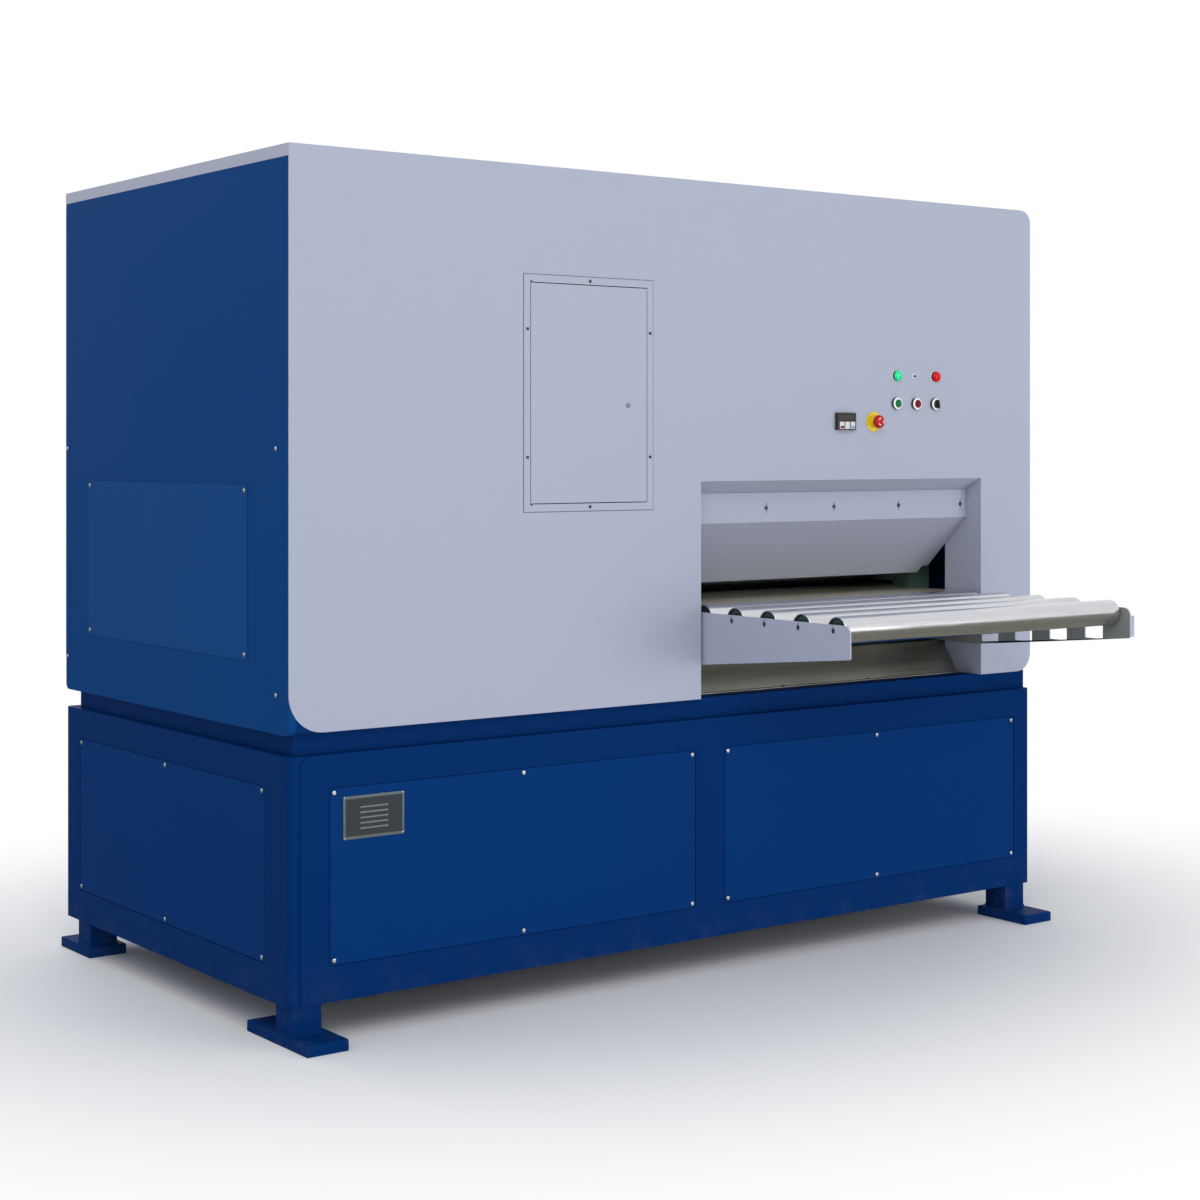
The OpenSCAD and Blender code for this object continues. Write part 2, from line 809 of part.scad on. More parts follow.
module idler_axles() {
  x = [line_x - plate_out + axle_end_in, line_x + plate_out - axle_end_in];
  color(steel) {
    for (y = in_ys) round_bar(y, axle_z, x, axle_d);
    for (y = out_ys) round_bar(-y, axle_z, x, axle_d);
  }
}
module idler(y) {
  x = [line_x - idler_half, line_x + idler_half];
  inner = idler_d - 2 * idler_wall;
  color(steel) difference() {
    round_bar(y, axle_z, x, idler_d);
    round_bar(y, axle_z, grown(x, over), axle_d + 2 * axle_fit);
    round_bar(y, axle_z, grown(x, -idler_sunk - idler_cap), inner);
    round_bar(y, axle_z, [x[0] - over, x[0] + idler_sunk], inner);
    round_bar(y, axle_z, [x[1] - idler_sunk, x[1] + over], inner);
  }
}

// Stands, beams and jacks
module roller_stands() {
  color(dark_green) both_sides() difference() {
    face_yz(line_x + stand_in, stand_t) difference() {
      translate([-stand_half, bed_top]) square([2 * stand_half, stand_top - bed_top]);
      translate([-window_half, window_z]) square([2 * window_half, window_tall]);
    }
    for (y = [-jack_y, jack_y])
      pin_z(line_x + stand_in + stand_t / 2, y,
        [window_z + window_tall - over, stand_top + over], jack_bore);
  }
}
module lower_beam() {
  color(dark_green) {
    bar(beam_x, [-stand_half, stand_half], [bed_top, bed_top + beam_low_h]);
    both_ends() bar(grown([line_x, line_x], plate_out), [-rail_y, over - stand_half],
      [plate_top - root_h, bed_top + beam_low_h]);
    both_sides() difference() {
      bar([line_x + stand_in + open_gap, line_x + stand_out],
        [-window_half + guide_gap, window_half - guide_gap], [block_z, block_z + block_h]);
      for (k = [1:lower_rolls]) round_bar(lower_y(k), low_axis,
        [line_x + stand_in, line_x + stand_out + over], journal_d + 2 * fit);
    }
  }
}
module upper_beam() {
  x = grown(beam_x, -beam_gap);
  pitch = (x[1] - x[0] - rib_web_t) / (rib_count - 1);
  color(dark_green) {
    bar(x, [-girder_half, girder_half], [girder_z, girder_z + girder_low_t]);
    bar(x, [-girder_half, girder_half], [girder_z + girder_h - girder_top_t, girder_z + girder_h]);
    for (y = [-web_y, web_y])
      bar(x, [y - web_t / 2, y + web_t / 2], [girder_z, girder_z + girder_h]);
    for (k = [0:rib_count - 1])
      bar([x[0] + k * pitch, x[0] + k * pitch + rib_web_t], [-girder_half, girder_half],
        [girder_z, girder_z + girder_h]);
    both_sides() difference() {
      bar([line_x + stand_in - beam_gap, line_x + stand_out],
        [-window_half + guide_gap, window_half - guide_gap],
        [upper_block_z, upper_block_z + upper_block_h]);
      for (k = [1:lower_rolls - 1]) round_bar(upper_y(k), high_axis,
        [line_x + stand_in - beam_gap - over, line_x + stand_out + over], journal_d + 2 * fit);
    }
  }
}
module jack_screws() {
  z = upper_block_z + upper_block_h;
  color(steel) both_sides() for (y = [-jack_y, jack_y])
    pin_z(line_x + stand_in + stand_t / 2, y, [z, z + jack_up], jack_d);
}
module jack_housings() {
  x = line_x + stand_in + stand_t / 2;
  z = stand_top + jack_box[2] / 2;
  color(dark_green) both_sides() both_ends() difference() {
    union() {
      translate([x - jack_box[0] / 2, -jack_y - jack_box[1] / 2, stand_top]) cube(jack_box);
      pin_z(x, -jack_y, [stand_top, stand_top + jack_box[2] + jack_tube_h], jack_tube_d);
      pin_y(x, z, [-jack_y - jack_box[1] / 2 - jack_motor_len, -jack_y], jack_motor_d);
    }
    pin_z(x, -jack_y, [stand_top - over, stand_top + jack_box[2] + jack_tube_h + over], jack_d + 2 * fit);
  }
}

// Levelling rolls with their drive shafts
module roll(y, z, lower) {
  journal_x = [line_x - stand_out - journal_out, line_x + stand_out + journal_end];
  a = journal_x[0] - open_gap;
  b = gear_x + boss_t + (lower ? stub_gap : open_gap);
  color(steel) {
    round_bar(y, z, [line_x - work_w / 2, line_x + work_w / 2], roll_d);
    round_bar(y, z, journal_x, journal_d);
    for (end = [[a - coupling_len, a], [b, b + coupling_len]]) {
      round_bar(y, z, end, coupling_neck_d);
      round_bar(y, z, [end[0], (end[0] + end[1] - coupling_neck) / 2], coupling_d);
      round_bar(y, z, [(end[0] + end[1] + coupling_neck) / 2, end[1]], coupling_d);
    }
    round_bar(y, z, [b + coupling_len, a - coupling_len], shaft_d);
    if (lower) round_bar(y, z, [gear_x - stub_deep + boss_t, b], journal_d);
  }
}
module lower_roll(k) { roll(lower_y(k), low_axis, true); }
module upper_roll(k) { roll(upper_y(k), high_axis, false); }

// Drive
module gearbox() {
  x = [gear_x - gear_w, gear_x];
  color(dark_green) difference() {
    union() {
      bar(x, [-gear_half, gear_half], [bed_top, high_axis + gear_up]);
      for (k = [1:lower_rolls]) round_bar(lower_y(k), low_axis, [gear_x - over, gear_x + boss_t], boss_d);
      for (k = [1:lower_rolls - 1])
        round_bar(upper_y(k), high_axis, [gear_x - over, gear_x + boss_t], boss_d);
    }
    for (k = [1:lower_rolls])
      round_bar(lower_y(k), low_axis, [gear_x - stub_deep, gear_x + boss_t + over], journal_d + 2 * fit);
    round_bar(0, drive_z, [x[0] - over, x[0] + input_deep + over], input_d + 2 * fit);
  }
}
module drive_coupling() {
  b = gear_x - gear_w;
  a = b - motor_gap;
  mid = (a + b) / 2;
  color(steel) {
    round_bar(0, drive_z, [a - input_deep, b + input_deep], input_d);
    round_bar(0, drive_z, [mid - clutch_gap / 2 - clutch_len, mid - clutch_gap / 2], clutch_d);
    round_bar(0, drive_z, [mid + clutch_gap / 2, mid + clutch_gap / 2 + clutch_len], clutch_d);
    round_bar(0, drive_z, [mid - clutch_gap, mid + clutch_gap], clutch_core_d);
  }
}
module drive_motor() {
  x = gear_x - gear_w - motor_gap;
  low = drive_z - reducer[2] / 2;
  can = [x - reducer[0] - motor_len, x - reducer[0]];
  color(mid_blue) difference() {
    union() {
      bar([x - reducer[0], x], [-reducer[1] / 2, reducer[1] / 2], [low, low + reducer[2]]);
      round_bar(0, drive_z, [can[0], can[1] + over], motor_d - 2 * motor_fin);
      for (k = [0:motor_fins - 1]) translate([can[0] + motor_len / 2, 0, drive_z])
        rotate([k * 360 / motor_fins, 0, 0]) translate([0, 0, motor_d / 2 - motor_fin])
          cube([motor_len, motor_fin / 2, 2 * motor_fin], center = true);
      round_bar(0, drive_z, [can[0], can[0] + fan_len], motor_d);
      bar([x - motor_plinth[0], x - over], [-motor_plinth[1] / 2, motor_plinth[1] / 2],
        [bed_top, low + over]);
    }
    round_bar(0, drive_z, [x - input_deep - over, x + over], input_d + 2 * fit);
  }
}

// Electric box
box_x = grown([leaf_x0, leaf_x1], box_side);
box_z = grown([leaf_z0, leaf_z1], box_side);
box_y = [front + sheet, front + sheet + box_deep];
module electric_box() {
  color(steel) {
    difference() {
      bar(box_x, box_y, box_z);
      bar(grown(box_x, -box_sheet), [box_y[0] - over, box_y[1] - box_sheet], grown(box_z, -box_sheet));
    }
    face_xz(box_y[0], box_sheet) difference() {
      outline(grown(box_x, box_flange), grown(box_z, box_flange), [0, 0, 0, 0]);
      outline(box_x, box_z, [0, 0, 0, 0]);
    }
  }
}
module unit(x, z, size) {
  y = box_y[1] - box_sheet - back_plate;
  bar([x, x + size[0]], [y - size[1], y], [z, z + size[2]]);
}
module electric_modules() {
  x = box_x[0] + unit_in;
  top = box_z[1] - unit_in;
  drive_low = top - duct_size[2] - drive_size[2] - unit_in / 2;
  relay_low = drive_low - relay_size[2] - duct_size[2];
  color(black) {
    bar(grown(box_x, -unit_in / 2), [box_y[1] - box_sheet - back_plate, box_y[1] - box_sheet],
      grown(box_z, -unit_in / 2));
    unit(x, top - duct_size[2], duct_size);
    unit(x, drive_low, drive_size);
    unit(x + duct_size[0] - drive_size[0], drive_low, drive_size);
    for (k = [0:relays - 1]) unit(x + k * relay_pitch, relay_low, relay_size);
    unit(x, relay_low - duct_size[2] - unit_in / 2, duct_size);
    unit(x, relay_low - duct_size[2] - rail_size[2] - unit_in, rail_size);
  }
}

// Controls
module lamp(x, z) {
  rim = front - lamp_rim;
  dome = rim - lamp_wall;
  pin_y(x, z, [rim, front], lamp_d + lamp_rim);
  pin_y(x, z, [dome, rim + over], lamp_d);
  intersection() {
    translate([x, dome + sqrt(dome_r * dome_r - lamp_d * lamp_d / 4), z]) sphere(dome_r);
    pin_y(x, z, [dome - lamp_d, dome], lamp_d);
  }
  pin_y(x, z, [front - over, front + sleeve_len], sleeve_d);
}
module indicator_lamps() {
  color([0.1, 0.8, 0.5]) lamp(green_x, lamp_z);
  color([0.8, 0.05, 0.05]) lamp(red_x, lamp_z);
  color(steel) {
    pin_y(pilot_x, lamp_z, [front - pilot_h, front], pilot_d);
    pin_y(pilot_x, lamp_z, [front - pilot_h - pilot_dome, front - pilot_h], pilot_top_d);
  }
}
module collar(x, z) {
  difference() {
    union() {
      pin_y(x, z, [front - collar_h, front], collar_d);
      pin_y(x, z, [front - over, front + sleeve_len], sleeve_d);
    }
    pin_y(x, z, [front - collar_h - over, front - collar_h + cap_deep], cap_d + 2 * cap_fit);
    pin_y(x, z, [front - collar_h, front + sleeve_len + over], sleeve_bore);
  }
}
module control_collars() {
  color(steel) for (x = [green_x, mid_x, red_x]) collar(x, button_z);
  color([0.85, 0.75, 0.1]) difference() {
    union() {
      pin_y(estop_x, low_z, [front - ring_t, front], stop_ring_d);
      pin_y(estop_x, low_z, [front - ring_t - estop_boss_h, front], estop_boss_d);
      pin_y(estop_x, low_z, [front - over, front + sleeve_len], sleeve_d);
    }
    pin_y(estop_x, low_z, [front - ring_t - estop_boss_h - over, front], estop_stem_d + 2 * cap_fit);
    pin_y(estop_x, low_z, [front - over, front + sleeve_len + over], sleeve_bore);
  }
}
module button(x, z) {
  y = front - collar_h - cap_out;
  pin_y(x, z, [y, y + cap_h], cap_d);
  pin_y(x, z, [y, y + cap_h + stem_len], stem_d);
}
module start_button() { color([0.05, 0.45, 0.25]) button(green_x, button_z); }
module stop_button() { color([0.5, 0.03, 0.06]) button(mid_x, button_z); }
module selector_switch() {
  y = front - collar_h - cap_out;
  color(black) {
    button(red_x, button_z);
    bar(grown([red_x, red_x], knob_bar[0] / 2), [y - knob_bar[1], y + over],
      grown([button_z, button_z], knob_bar[2] / 2));
  }
}
module estop_button() {
  face = front - ring_t - estop_boss_h - estop_travel;
  color([0.75, 0.1, 0.1]) {
    pin_y(estop_x, low_z, [face - estop_h + estop_edge, face], estop_d);
    translate([estop_x, face - estop_h + estop_edge, low_z]) rotate([90, 0, 0])
      cylinder(d1 = estop_d, d2 = estop_d - 2 * estop_edge, h = estop_edge);
    pin_y(estop_x, low_z, [face - over, face + 2 * estop_travel], estop_stem_d);
    pin_y(estop_x, low_z, [face, face + 2 * estop_travel + stem_len], stem_d);
  }
}
module counter_display() {
  x = grown([counter_x, counter_x], counter_size[0] / 2);
  z = grown([low_z, low_z], counter_size[2] / 2);
  y = front - counter_size[1];
  color(black) {
    difference() {
      bar(x, [y, front], z);
      bar(grown(x, -counter_lip), [y - over, y + counter_sunk],
        [z[0] + counter_window_up, z[1] - counter_lip]);
    }
    for (k = [-1:1]) translate([counter_x + k * counter_key_pitch - counter_key[0] / 2,
      y - counter_key[1], z[0] + counter_key_up])
      cube([counter_key[0], counter_key[1] + over, counter_key[2]]);
  }
}
module nameplate() {
  x = [left + nameplate_in, left + nameplate_in + plate_size[0]];
  y = [front + panel_sunk - plate_size[1], front + panel_sunk];
  z = [base_z + nameplate_up, base_z + nameplate_up + plate_size[2]];
  color(black) difference() {
    bar(x, y, z);
    bar(grown(x, -plate_rim), [y[0] - over, y[0] + plate_sunk], grown(z, -plate_rim));
  }
}

base_frame();
foot_pads();
base_panels();
panel_screws();
bed_plate();
front_cover();
left_side_cover();
right_side_cover();
top_cover();
rear_cover();
side_access_panels();
door_frame();
door_leaf();
door_lock();
guard_hoods();
opening_reveals();
steel_guides();
table_frames();
idler_axles();
roller_stands();
lower_beam();
upper_beam();
jack_screws();
jack_housings();
gearbox();
drive_motor();
drive_coupling();
electric_box();
electric_modules();
indicator_lamps();
control_collars();
start_button();
stop_button();
selector_switch();
estop_button();
counter_display();
nameplate();
lower_roll(1);  // lower_roll_1
lower_roll(2);  // lower_roll_2
lower_roll(3);  // lower_roll_3
lower_roll(4);  // lower_roll_4
lower_roll(5);  // lower_roll_5
lower_roll(6);  // lower_roll_6
lower_roll(7);  // lower_roll_7
lower_roll(8);  // lower_roll_8
upper_roll(1);  // upper_roll_1
upper_roll(2);  // upper_roll_2
upper_roll(3);  // upper_roll_3
upper_roll(4);  // upper_roll_4
upper_roll(5);  // upper_roll_5
upper_roll(6);  // upper_roll_6
upper_roll(7);  // upper_roll_7
idler(idler_y(1));  // infeed_idler_1
idler(idler_y(2));  // infeed_idler_2
idler(idler_y(3));  // infeed_idler_3
idler(idler_y(4));  // infeed_idler_4
idler(idler_y(5));  // infeed_idler_5
idler(out_idler_y(1));  // outfeed_idler_1
idler(out_idler_y(2));  // outfeed_idler_2
idler(out_idler_y(3));  // outfeed_idler_3
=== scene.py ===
"""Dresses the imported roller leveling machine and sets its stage."""

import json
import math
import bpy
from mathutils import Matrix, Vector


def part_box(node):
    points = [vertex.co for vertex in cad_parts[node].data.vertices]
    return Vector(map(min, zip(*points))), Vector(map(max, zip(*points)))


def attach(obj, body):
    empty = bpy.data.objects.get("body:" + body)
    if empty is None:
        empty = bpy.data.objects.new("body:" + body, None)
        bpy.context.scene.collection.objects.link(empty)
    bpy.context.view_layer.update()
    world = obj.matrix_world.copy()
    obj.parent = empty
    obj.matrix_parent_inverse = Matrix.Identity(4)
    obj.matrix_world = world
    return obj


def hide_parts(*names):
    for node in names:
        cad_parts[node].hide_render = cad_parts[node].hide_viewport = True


bl_info = {
    "name": "Roller leveling machine",
    "version": (1, 0, 0),
    "blender": (4, 5, 0),
    "location": "View3D > Sidebar > Leveller",
    "description": "Finishes, fittings and stage for a roller leveling machine",
    "category": "Object",
}

import bpy
from bpy.props import FloatProperty, FloatVectorProperty, PointerProperty
from mathutils import Vector

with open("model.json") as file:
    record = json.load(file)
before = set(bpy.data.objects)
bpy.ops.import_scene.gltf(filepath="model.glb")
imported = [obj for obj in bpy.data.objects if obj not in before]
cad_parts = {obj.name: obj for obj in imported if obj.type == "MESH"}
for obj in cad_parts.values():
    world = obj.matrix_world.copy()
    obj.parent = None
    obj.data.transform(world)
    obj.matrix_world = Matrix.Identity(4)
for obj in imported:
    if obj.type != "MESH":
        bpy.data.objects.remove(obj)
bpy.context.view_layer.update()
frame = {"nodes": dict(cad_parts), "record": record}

MERGE = 0.00002
FLAT = math.radians(1.0)
SEAM = 0.0005
DUST_HEIGHT = 0.30
PLANE_SIZE = 160

# Turned shapes: (radius, height) pairs in metres, from the foot on.
HINGE_PIN = ((0.0042, 0.0), (0.0042, 0.0006), (0.0034, 0.0009), (0.0004, 0.0010))
RIVET = ((0.0030, 0.0), (0.0029, 0.0006), (0.0022, 0.0013), (0.0004, 0.0016))
LAMP_RIM = (
    (0.0218, 0.0), (0.0222, 0.0012), (0.0216, 0.0034), (0.0206, 0.0040), (0.0196, 0.0032),
    (0.0100, 0.0032),
)
LAMP_SLEEVE = (
    (0.0194, 0.0), (0.0196, 0.0010), (0.0196, 0.0066), (0.0188, 0.0072), (0.0150, 0.0072),
)
LAMP_DOME = (
    (0.0186, 0.0060), (0.0188, 0.0085), (0.0184, 0.0110), (0.0168, 0.0134), (0.0144, 0.0152),
    (0.0112, 0.0166), (0.0072, 0.0175), (0.0030, 0.0179), (0.0004, 0.0180),
)
LAMP_SEAT = 0.0033
PILOT_RIM = (
    (0.0084, 0.0), (0.0084, 0.0018), (0.0074, 0.0030), (0.0052, 0.0030), (0.0047, 0.0016),
    (0.0020, 0.0016),
)
PILOT_DOME = (
    (0.0044, 0.0), (0.0044, 0.0044), (0.0038, 0.0062), (0.0024, 0.0074), (0.0004, 0.0078),
)
PILOT_SEAT = 0.0012
PILOT_STEP = 0.091
COLLAR_FLANK = ((0.0214, 0.0), (0.0219, 0.0008), (0.0219, 0.0096), (0.0160, 0.0100))
COLLAR_RING = (
    (0.0214, 0.0094), (0.0218, 0.0104), (0.0207, 0.0126), (0.0184, 0.0138), (0.0164, 0.0140),
    (0.0148, 0.0128), (0.0147, 0.0014), (0.0080, 0.0014),
)
STOP_RING = (
    (0.0356, 0.0), (0.0360, 0.0006), (0.0360, 0.0024), (0.0352, 0.0030), (0.0200, 0.0030),
    (0.0186, 0.0036), (0.0182, 0.0060), (0.0180, 0.0130), (0.0170, 0.0148), (0.0130, 0.0150),
    (0.0116, 0.0144), (0.0114, 0.0003), (0.0080, 0.0003),
)
BUTTON_CAP = (
    (0.0060, 0.0), (0.0060, 0.024), (0.0142, 0.024), (0.0142, 0.0318), (0.0136, 0.0334),
    (0.0120, 0.0340), (0.0100, 0.0334), (0.0060, 0.0328), (0.0004, 0.0326),
)
SELECTOR_DISC = (
    (0.0060, 0.0), (0.0060, 0.024), (0.0142, 0.024), (0.0142, 0.0330), (0.0136, 0.0340),
    (0.0090, 0.0342),
)
STOP_STEM = 0.0060
STOP_NECK = 0.0110
STOP_NECK_LENGTH = 0.016
STOP_REACH = 0.023
STOP_CAP = (
    (0.0110, 0.0), (0.0220, 0.0), (0.0238, 0.0010), (0.0240, 0.0030), (0.0236, 0.0080),
    (0.0222, 0.0120), (0.0190, 0.0152), (0.0140, 0.0170), (0.0080, 0.0178), (0.0004, 0.0180),
)

# The bars of one counter figure: right, up, width and height from its middle.
FIGURE_BARS = (
    (0, 0.0085, 0.0070, 0.0012), (0, -0.0085, 0.0070, 0.0012),
    (-0.0045, 0.0042, 0.0012, 0.0070), (0.0045, 0.0042, 0.0012, 0.0070),
    (-0.0045, -0.0042, 0.0012, 0.0070), (0.0045, -0.0042, 0.0012, 0.0070),
)
FIGURES = 4
FIGURE_PITCH = 0.015
KEY_PITCH = 0.026


def deselect():
    """Leaves nothing selected, because an operator acts on all that is."""
    bpy.ops.object.select_all(action="DESELECT")


def pick(obj):
    """Makes one object the only one selected, and the active one."""
    deselect()
    obj.select_set(True)
    bpy.context.view_layer.objects.active = obj


def edit(obj, mode="FACE"):
    """Opens one object in edit mode with all of it selected."""
    pick(obj)
    bpy.ops.object.mode_set(mode="EDIT")
    bpy.ops.mesh.select_mode(type=mode)
    bpy.ops.mesh.select_all(action="SELECT")


def leave():
    """Goes back to object mode."""
    bpy.ops.object.mode_set(mode="OBJECT")


def choose(obj, test, kind="polygons"):
    """In edit mode, selects only the faces or edges that pass a test."""
    bpy.ops.mesh.select_all(action="DESELECT")
    leave()
    for item in getattr(obj.data, kind):
        item.select = test(item)
    bpy.ops.object.mode_set(mode="EDIT")


def apply_place(obj):
    """Puts an object's place, turn and size into its mesh."""
    pick(obj)
    bpy.ops.object.transform_apply(location=True, rotation=True, scale=True)


def rounded(obj, width, segments=2, angle=30):
    """Rounds the edges sharper than an angle."""
    pick(obj)
    bevel = obj.modifiers.new("edges", "BEVEL")
    bevel.width = width
    bevel.segments = segments
    bevel.limit_method = "ANGLE"
    bevel.angle_limit = math.radians(angle)
    bevel.use_clamp_overlap = True
    bpy.ops.object.modifier_apply(modifier=bevel.name)


def smooth(obj, angle=35):
    """Shades an object smooth, but for edges sharper than an angle, with its large faces flat."""
    pick(obj)
    bpy.ops.object.shade_smooth_by_angle(angle=math.radians(angle))
    weighted = obj.modifiers.new("flat faces", "WEIGHTED_NORMAL")
    weighted.keep_sharp = True
    bpy.ops.object.modifier_apply(modifier=weighted.name)


def finish_piece(obj, material, body, stands_for=(), bevel=0.0, segments=2, angle=35):
    """Rounds, shades and paints a piece, and tells the frame what it rides on."""
    apply_place(obj)
    if bevel:
        rounded(obj, bevel, segments)
    smooth(obj, angle)
    obj.data.materials.clear()
    obj.data.materials.append(material)
    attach(obj, body)
    if stands_for:
        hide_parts(*stands_for)
    return obj


def named(name):
    """Names the object that an operator has just added."""
    obj = bpy.context.active_object
    obj.name = name
    obj.data.name = name
    return obj


def block(name, low, high):
    """A box between two corners."""
    deselect()
    low, high = Vector(low), Vector(high)
    bpy.ops.mesh.primitive_cube_add(size=1, location=(low + high) / 2)
    obj = named(name)
    obj.scale = high - low
    apply_place(obj)
    return obj


AXES = {
    "+X": (0, math.pi / 2, 0),
    "-X": (0, -math.pi / 2, 0),
    "+Y": (-math.pi / 2, 0, 0),
    "-Y": (math.pi / 2, 0, 0),
    "+Z": (0, 0, 0),
    "-Z": (math.pi, 0, 0),
}


def turned(name, place, axis, profile, sides=48):
    """Turns a solid from a disc, extruded and scaled once for each (radius, height)."""
    deselect()
    radius, height = profile[0]
    bpy.ops.mesh.primitive_circle_add(
        vertices=sides, radius=radius, fill_type="NGON", location=(0, 0, height)
    )
    obj = named(name)
    apply_place(obj)
    edit(obj)
    for wide, high in profile[1:]:
        bpy.ops.mesh.extrude_region_move(
            TRANSFORM_OT_translate={"value": (0, 0, high - height)}
        )
        share = wide / radius
        bpy.ops.transform.resize(value=(share, share, 1), center_override=(0, 0, high))
        radius, height = wide, high
    bpy.ops.mesh.select_all(action="SELECT")
    bpy.ops.mesh.normals_make_consistent(inside=False)
    leave()
    obj.rotation_euler = AXES[axis]
    obj.location = place
    apply_place(obj)
    return obj


def copied(obj, name, shift):
    """A copy with its own mesh, moved by a shift."""
    twin = obj.copy()
    twin.data = obj.data.copy()
    twin.name = name
    twin.data.name = name
    bpy.context.scene.collection.objects.link(twin)
    twin.location = Vector(shift)
    apply_place(twin)
    return twin


def joined(name, parts):
    """Joins meshes into one piece."""
    pick(parts[0])
    for part in parts:
        part.select_set(True)
    bpy.ops.object.join()
    return named(name)


def cut(obj, tool):
    """Cuts a tool out of a piece, and deletes the tool."""
    pick(obj)
    boolean = obj.modifiers.new("cut", "BOOLEAN")
    boolean.object = tool
    boolean.solver = "EXACT"
    bpy.ops.object.modifier_apply(modifier=boolean.name)
    bpy.data.objects.remove(tool)
    return obj


def from_frame(node, name, width, segments=2):
    """A merged copy of a node of the frame, with flat faces whole and edges rounded."""
    source = frame["nodes"][node]
    twin = source.copy()
    twin.data = source.data.copy()
    for key in [k for k in twin.keys() if k.startswith("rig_")]:
        del twin[key]
    twin.parent = None
    twin.name = name
    twin.data.name = name
    bpy.context.scene.collection.objects.link(twin)
    edit(twin)
    bpy.ops.mesh.remove_doubles(threshold=MERGE)
    bpy.ops.mesh.select_all(action="SELECT")
    bpy.ops.mesh.dissolve_limited(angle_limit=FLAT)
    leave()
    if twin.data.has_custom_normals:
        bpy.ops.mesh.customdata_custom_splitnormals_clear()
    if width:
        rounded(twin, width, segments)
    return twin


class Wire:
    """A socket of a finish, used in sums as a number is."""

    def __init__(self, finish, socket):
        self.finish = finish
        self.socket = socket

    def math(self, operation, *others, clamp=False):
        values = dict(enumerate((self, *others)))
        settings = {"operation": operation, "use_clamp": clamp}
        return self.finish.add("Math", settings, values)

    def __add__(self, other):
        return self.math("ADD", other)

    __radd__ = __add__

    def __mul__(self, other):
        return self.math("MULTIPLY", other)

    __rmul__ = __mul__

    def __sub__(self, other):
        return self.math("SUBTRACT", other)

    def __rsub__(self, other):
        return self.finish.add("Math", {"operation": "SUBTRACT"}, {0: other, 1: self})

    def most(self, other):
        return self.math("MAXIMUM", other)

    def step(self, low, high):
        """0 below low, 1 above high, and smooth between."""
        settings = {"interpolation_type": "SMOOTHSTEP"}
        values = {
            "Value": self, "From Min": low, "From Max": high, "To Min": 0.0, "To Max": 1.0,
        }
        return self.finish.add("MapRange", settings, values)


class Finish:
    """One material, built from expressions."""

    def __init__(self, name):
        self.material = bpy.data.materials.new(name)
        self.material.use_nodes = True
        self.tree = self.material.node_tree
        self.shader = self.tree.nodes["Principled BSDF"]

    def add(self, kind, settings=None, values=None, output=0):
        """Adds a node: its settings first, then what its sockets hold, and returns one output."""
        node = self.tree.nodes.new("ShaderNode" + kind)
        for key, value in (settings or {}).items():
            if key == "stops":
                self.stops(node.color_ramp, value)
            else:
                setattr(node, key, value)
        for key, value in (values or {}).items():
            self.put(node.inputs[key], value)
        return Wire(self, node.outputs[output])

    def stops(self, ramp, stops):
        while len(ramp.elements) < len(stops):
            ramp.elements.new(1.0)
        for element, (place, colour) in zip(ramp.elements, stops):
            element.position = place
            element.color = (*colour, 1.0)

    def put(self, socket, value):
        if isinstance(value, Wire):
            self.tree.links.new(value.socket, socket)
        elif hasattr(value, "__len__") and len(value) == 3 and socket.type == "RGBA":
            socket.default_value = (*value, 1.0)
        else:
            socket.default_value = value

    def place(self, stretch=(1, 1, 1), turn=(0, 0, 0)):
        """Object coordinates in metres, stretched and turned."""
        spot = self.add("TexCoord", output="Object")
        return self.add("Mapping", None, {"Vector": spot, "Scale": stretch, "Rotation": turn})

    def noise(self, spot, scale, detail=2.0, rough=0.5, distortion=0.0):
        values = {
            "Vector": spot, "Scale": scale, "Detail": detail, "Roughness": rough,
            "Distortion": distortion,
        }
        return self.add("TexNoise", None, values)

    def cells(self, spot, scale, output=0):
        values = {"Vector": spot, "Scale": scale}
        return self.add("TexVoronoi", {"feature": "F1"}, values, output)

    def mix(self, first, second, share):
        values = {0: share, 6: first, 7: second}
        return self.add("Mix", {"data_type": "RGBA"}, values, output=2)

    def bump(self, height, depth, strength=1.0):
        return self.add("Bump", None, {"Height": height, "Distance": depth, "Strength": strength})

    def set(self, **sockets):
        """Sets the shader's sockets, with their names written with underscores."""
        for key, value in sockets.items():
            self.put(self.shader.inputs[key.replace("_", " ")], value)
        return self.material


def shade(colour, factor):
    """A colour made lighter or darker."""
    return tuple(min(1.0, c * factor) for c in colour)


def srgb(red, green, blue):
    """A linear colour from its 0 to 255 values."""
    return tuple(
        ((c / 255 + 0.055) / 1.055) ** 2.4 if c > 10 else c / 255 / 12.92
        for c in (red, green, blue)
    )


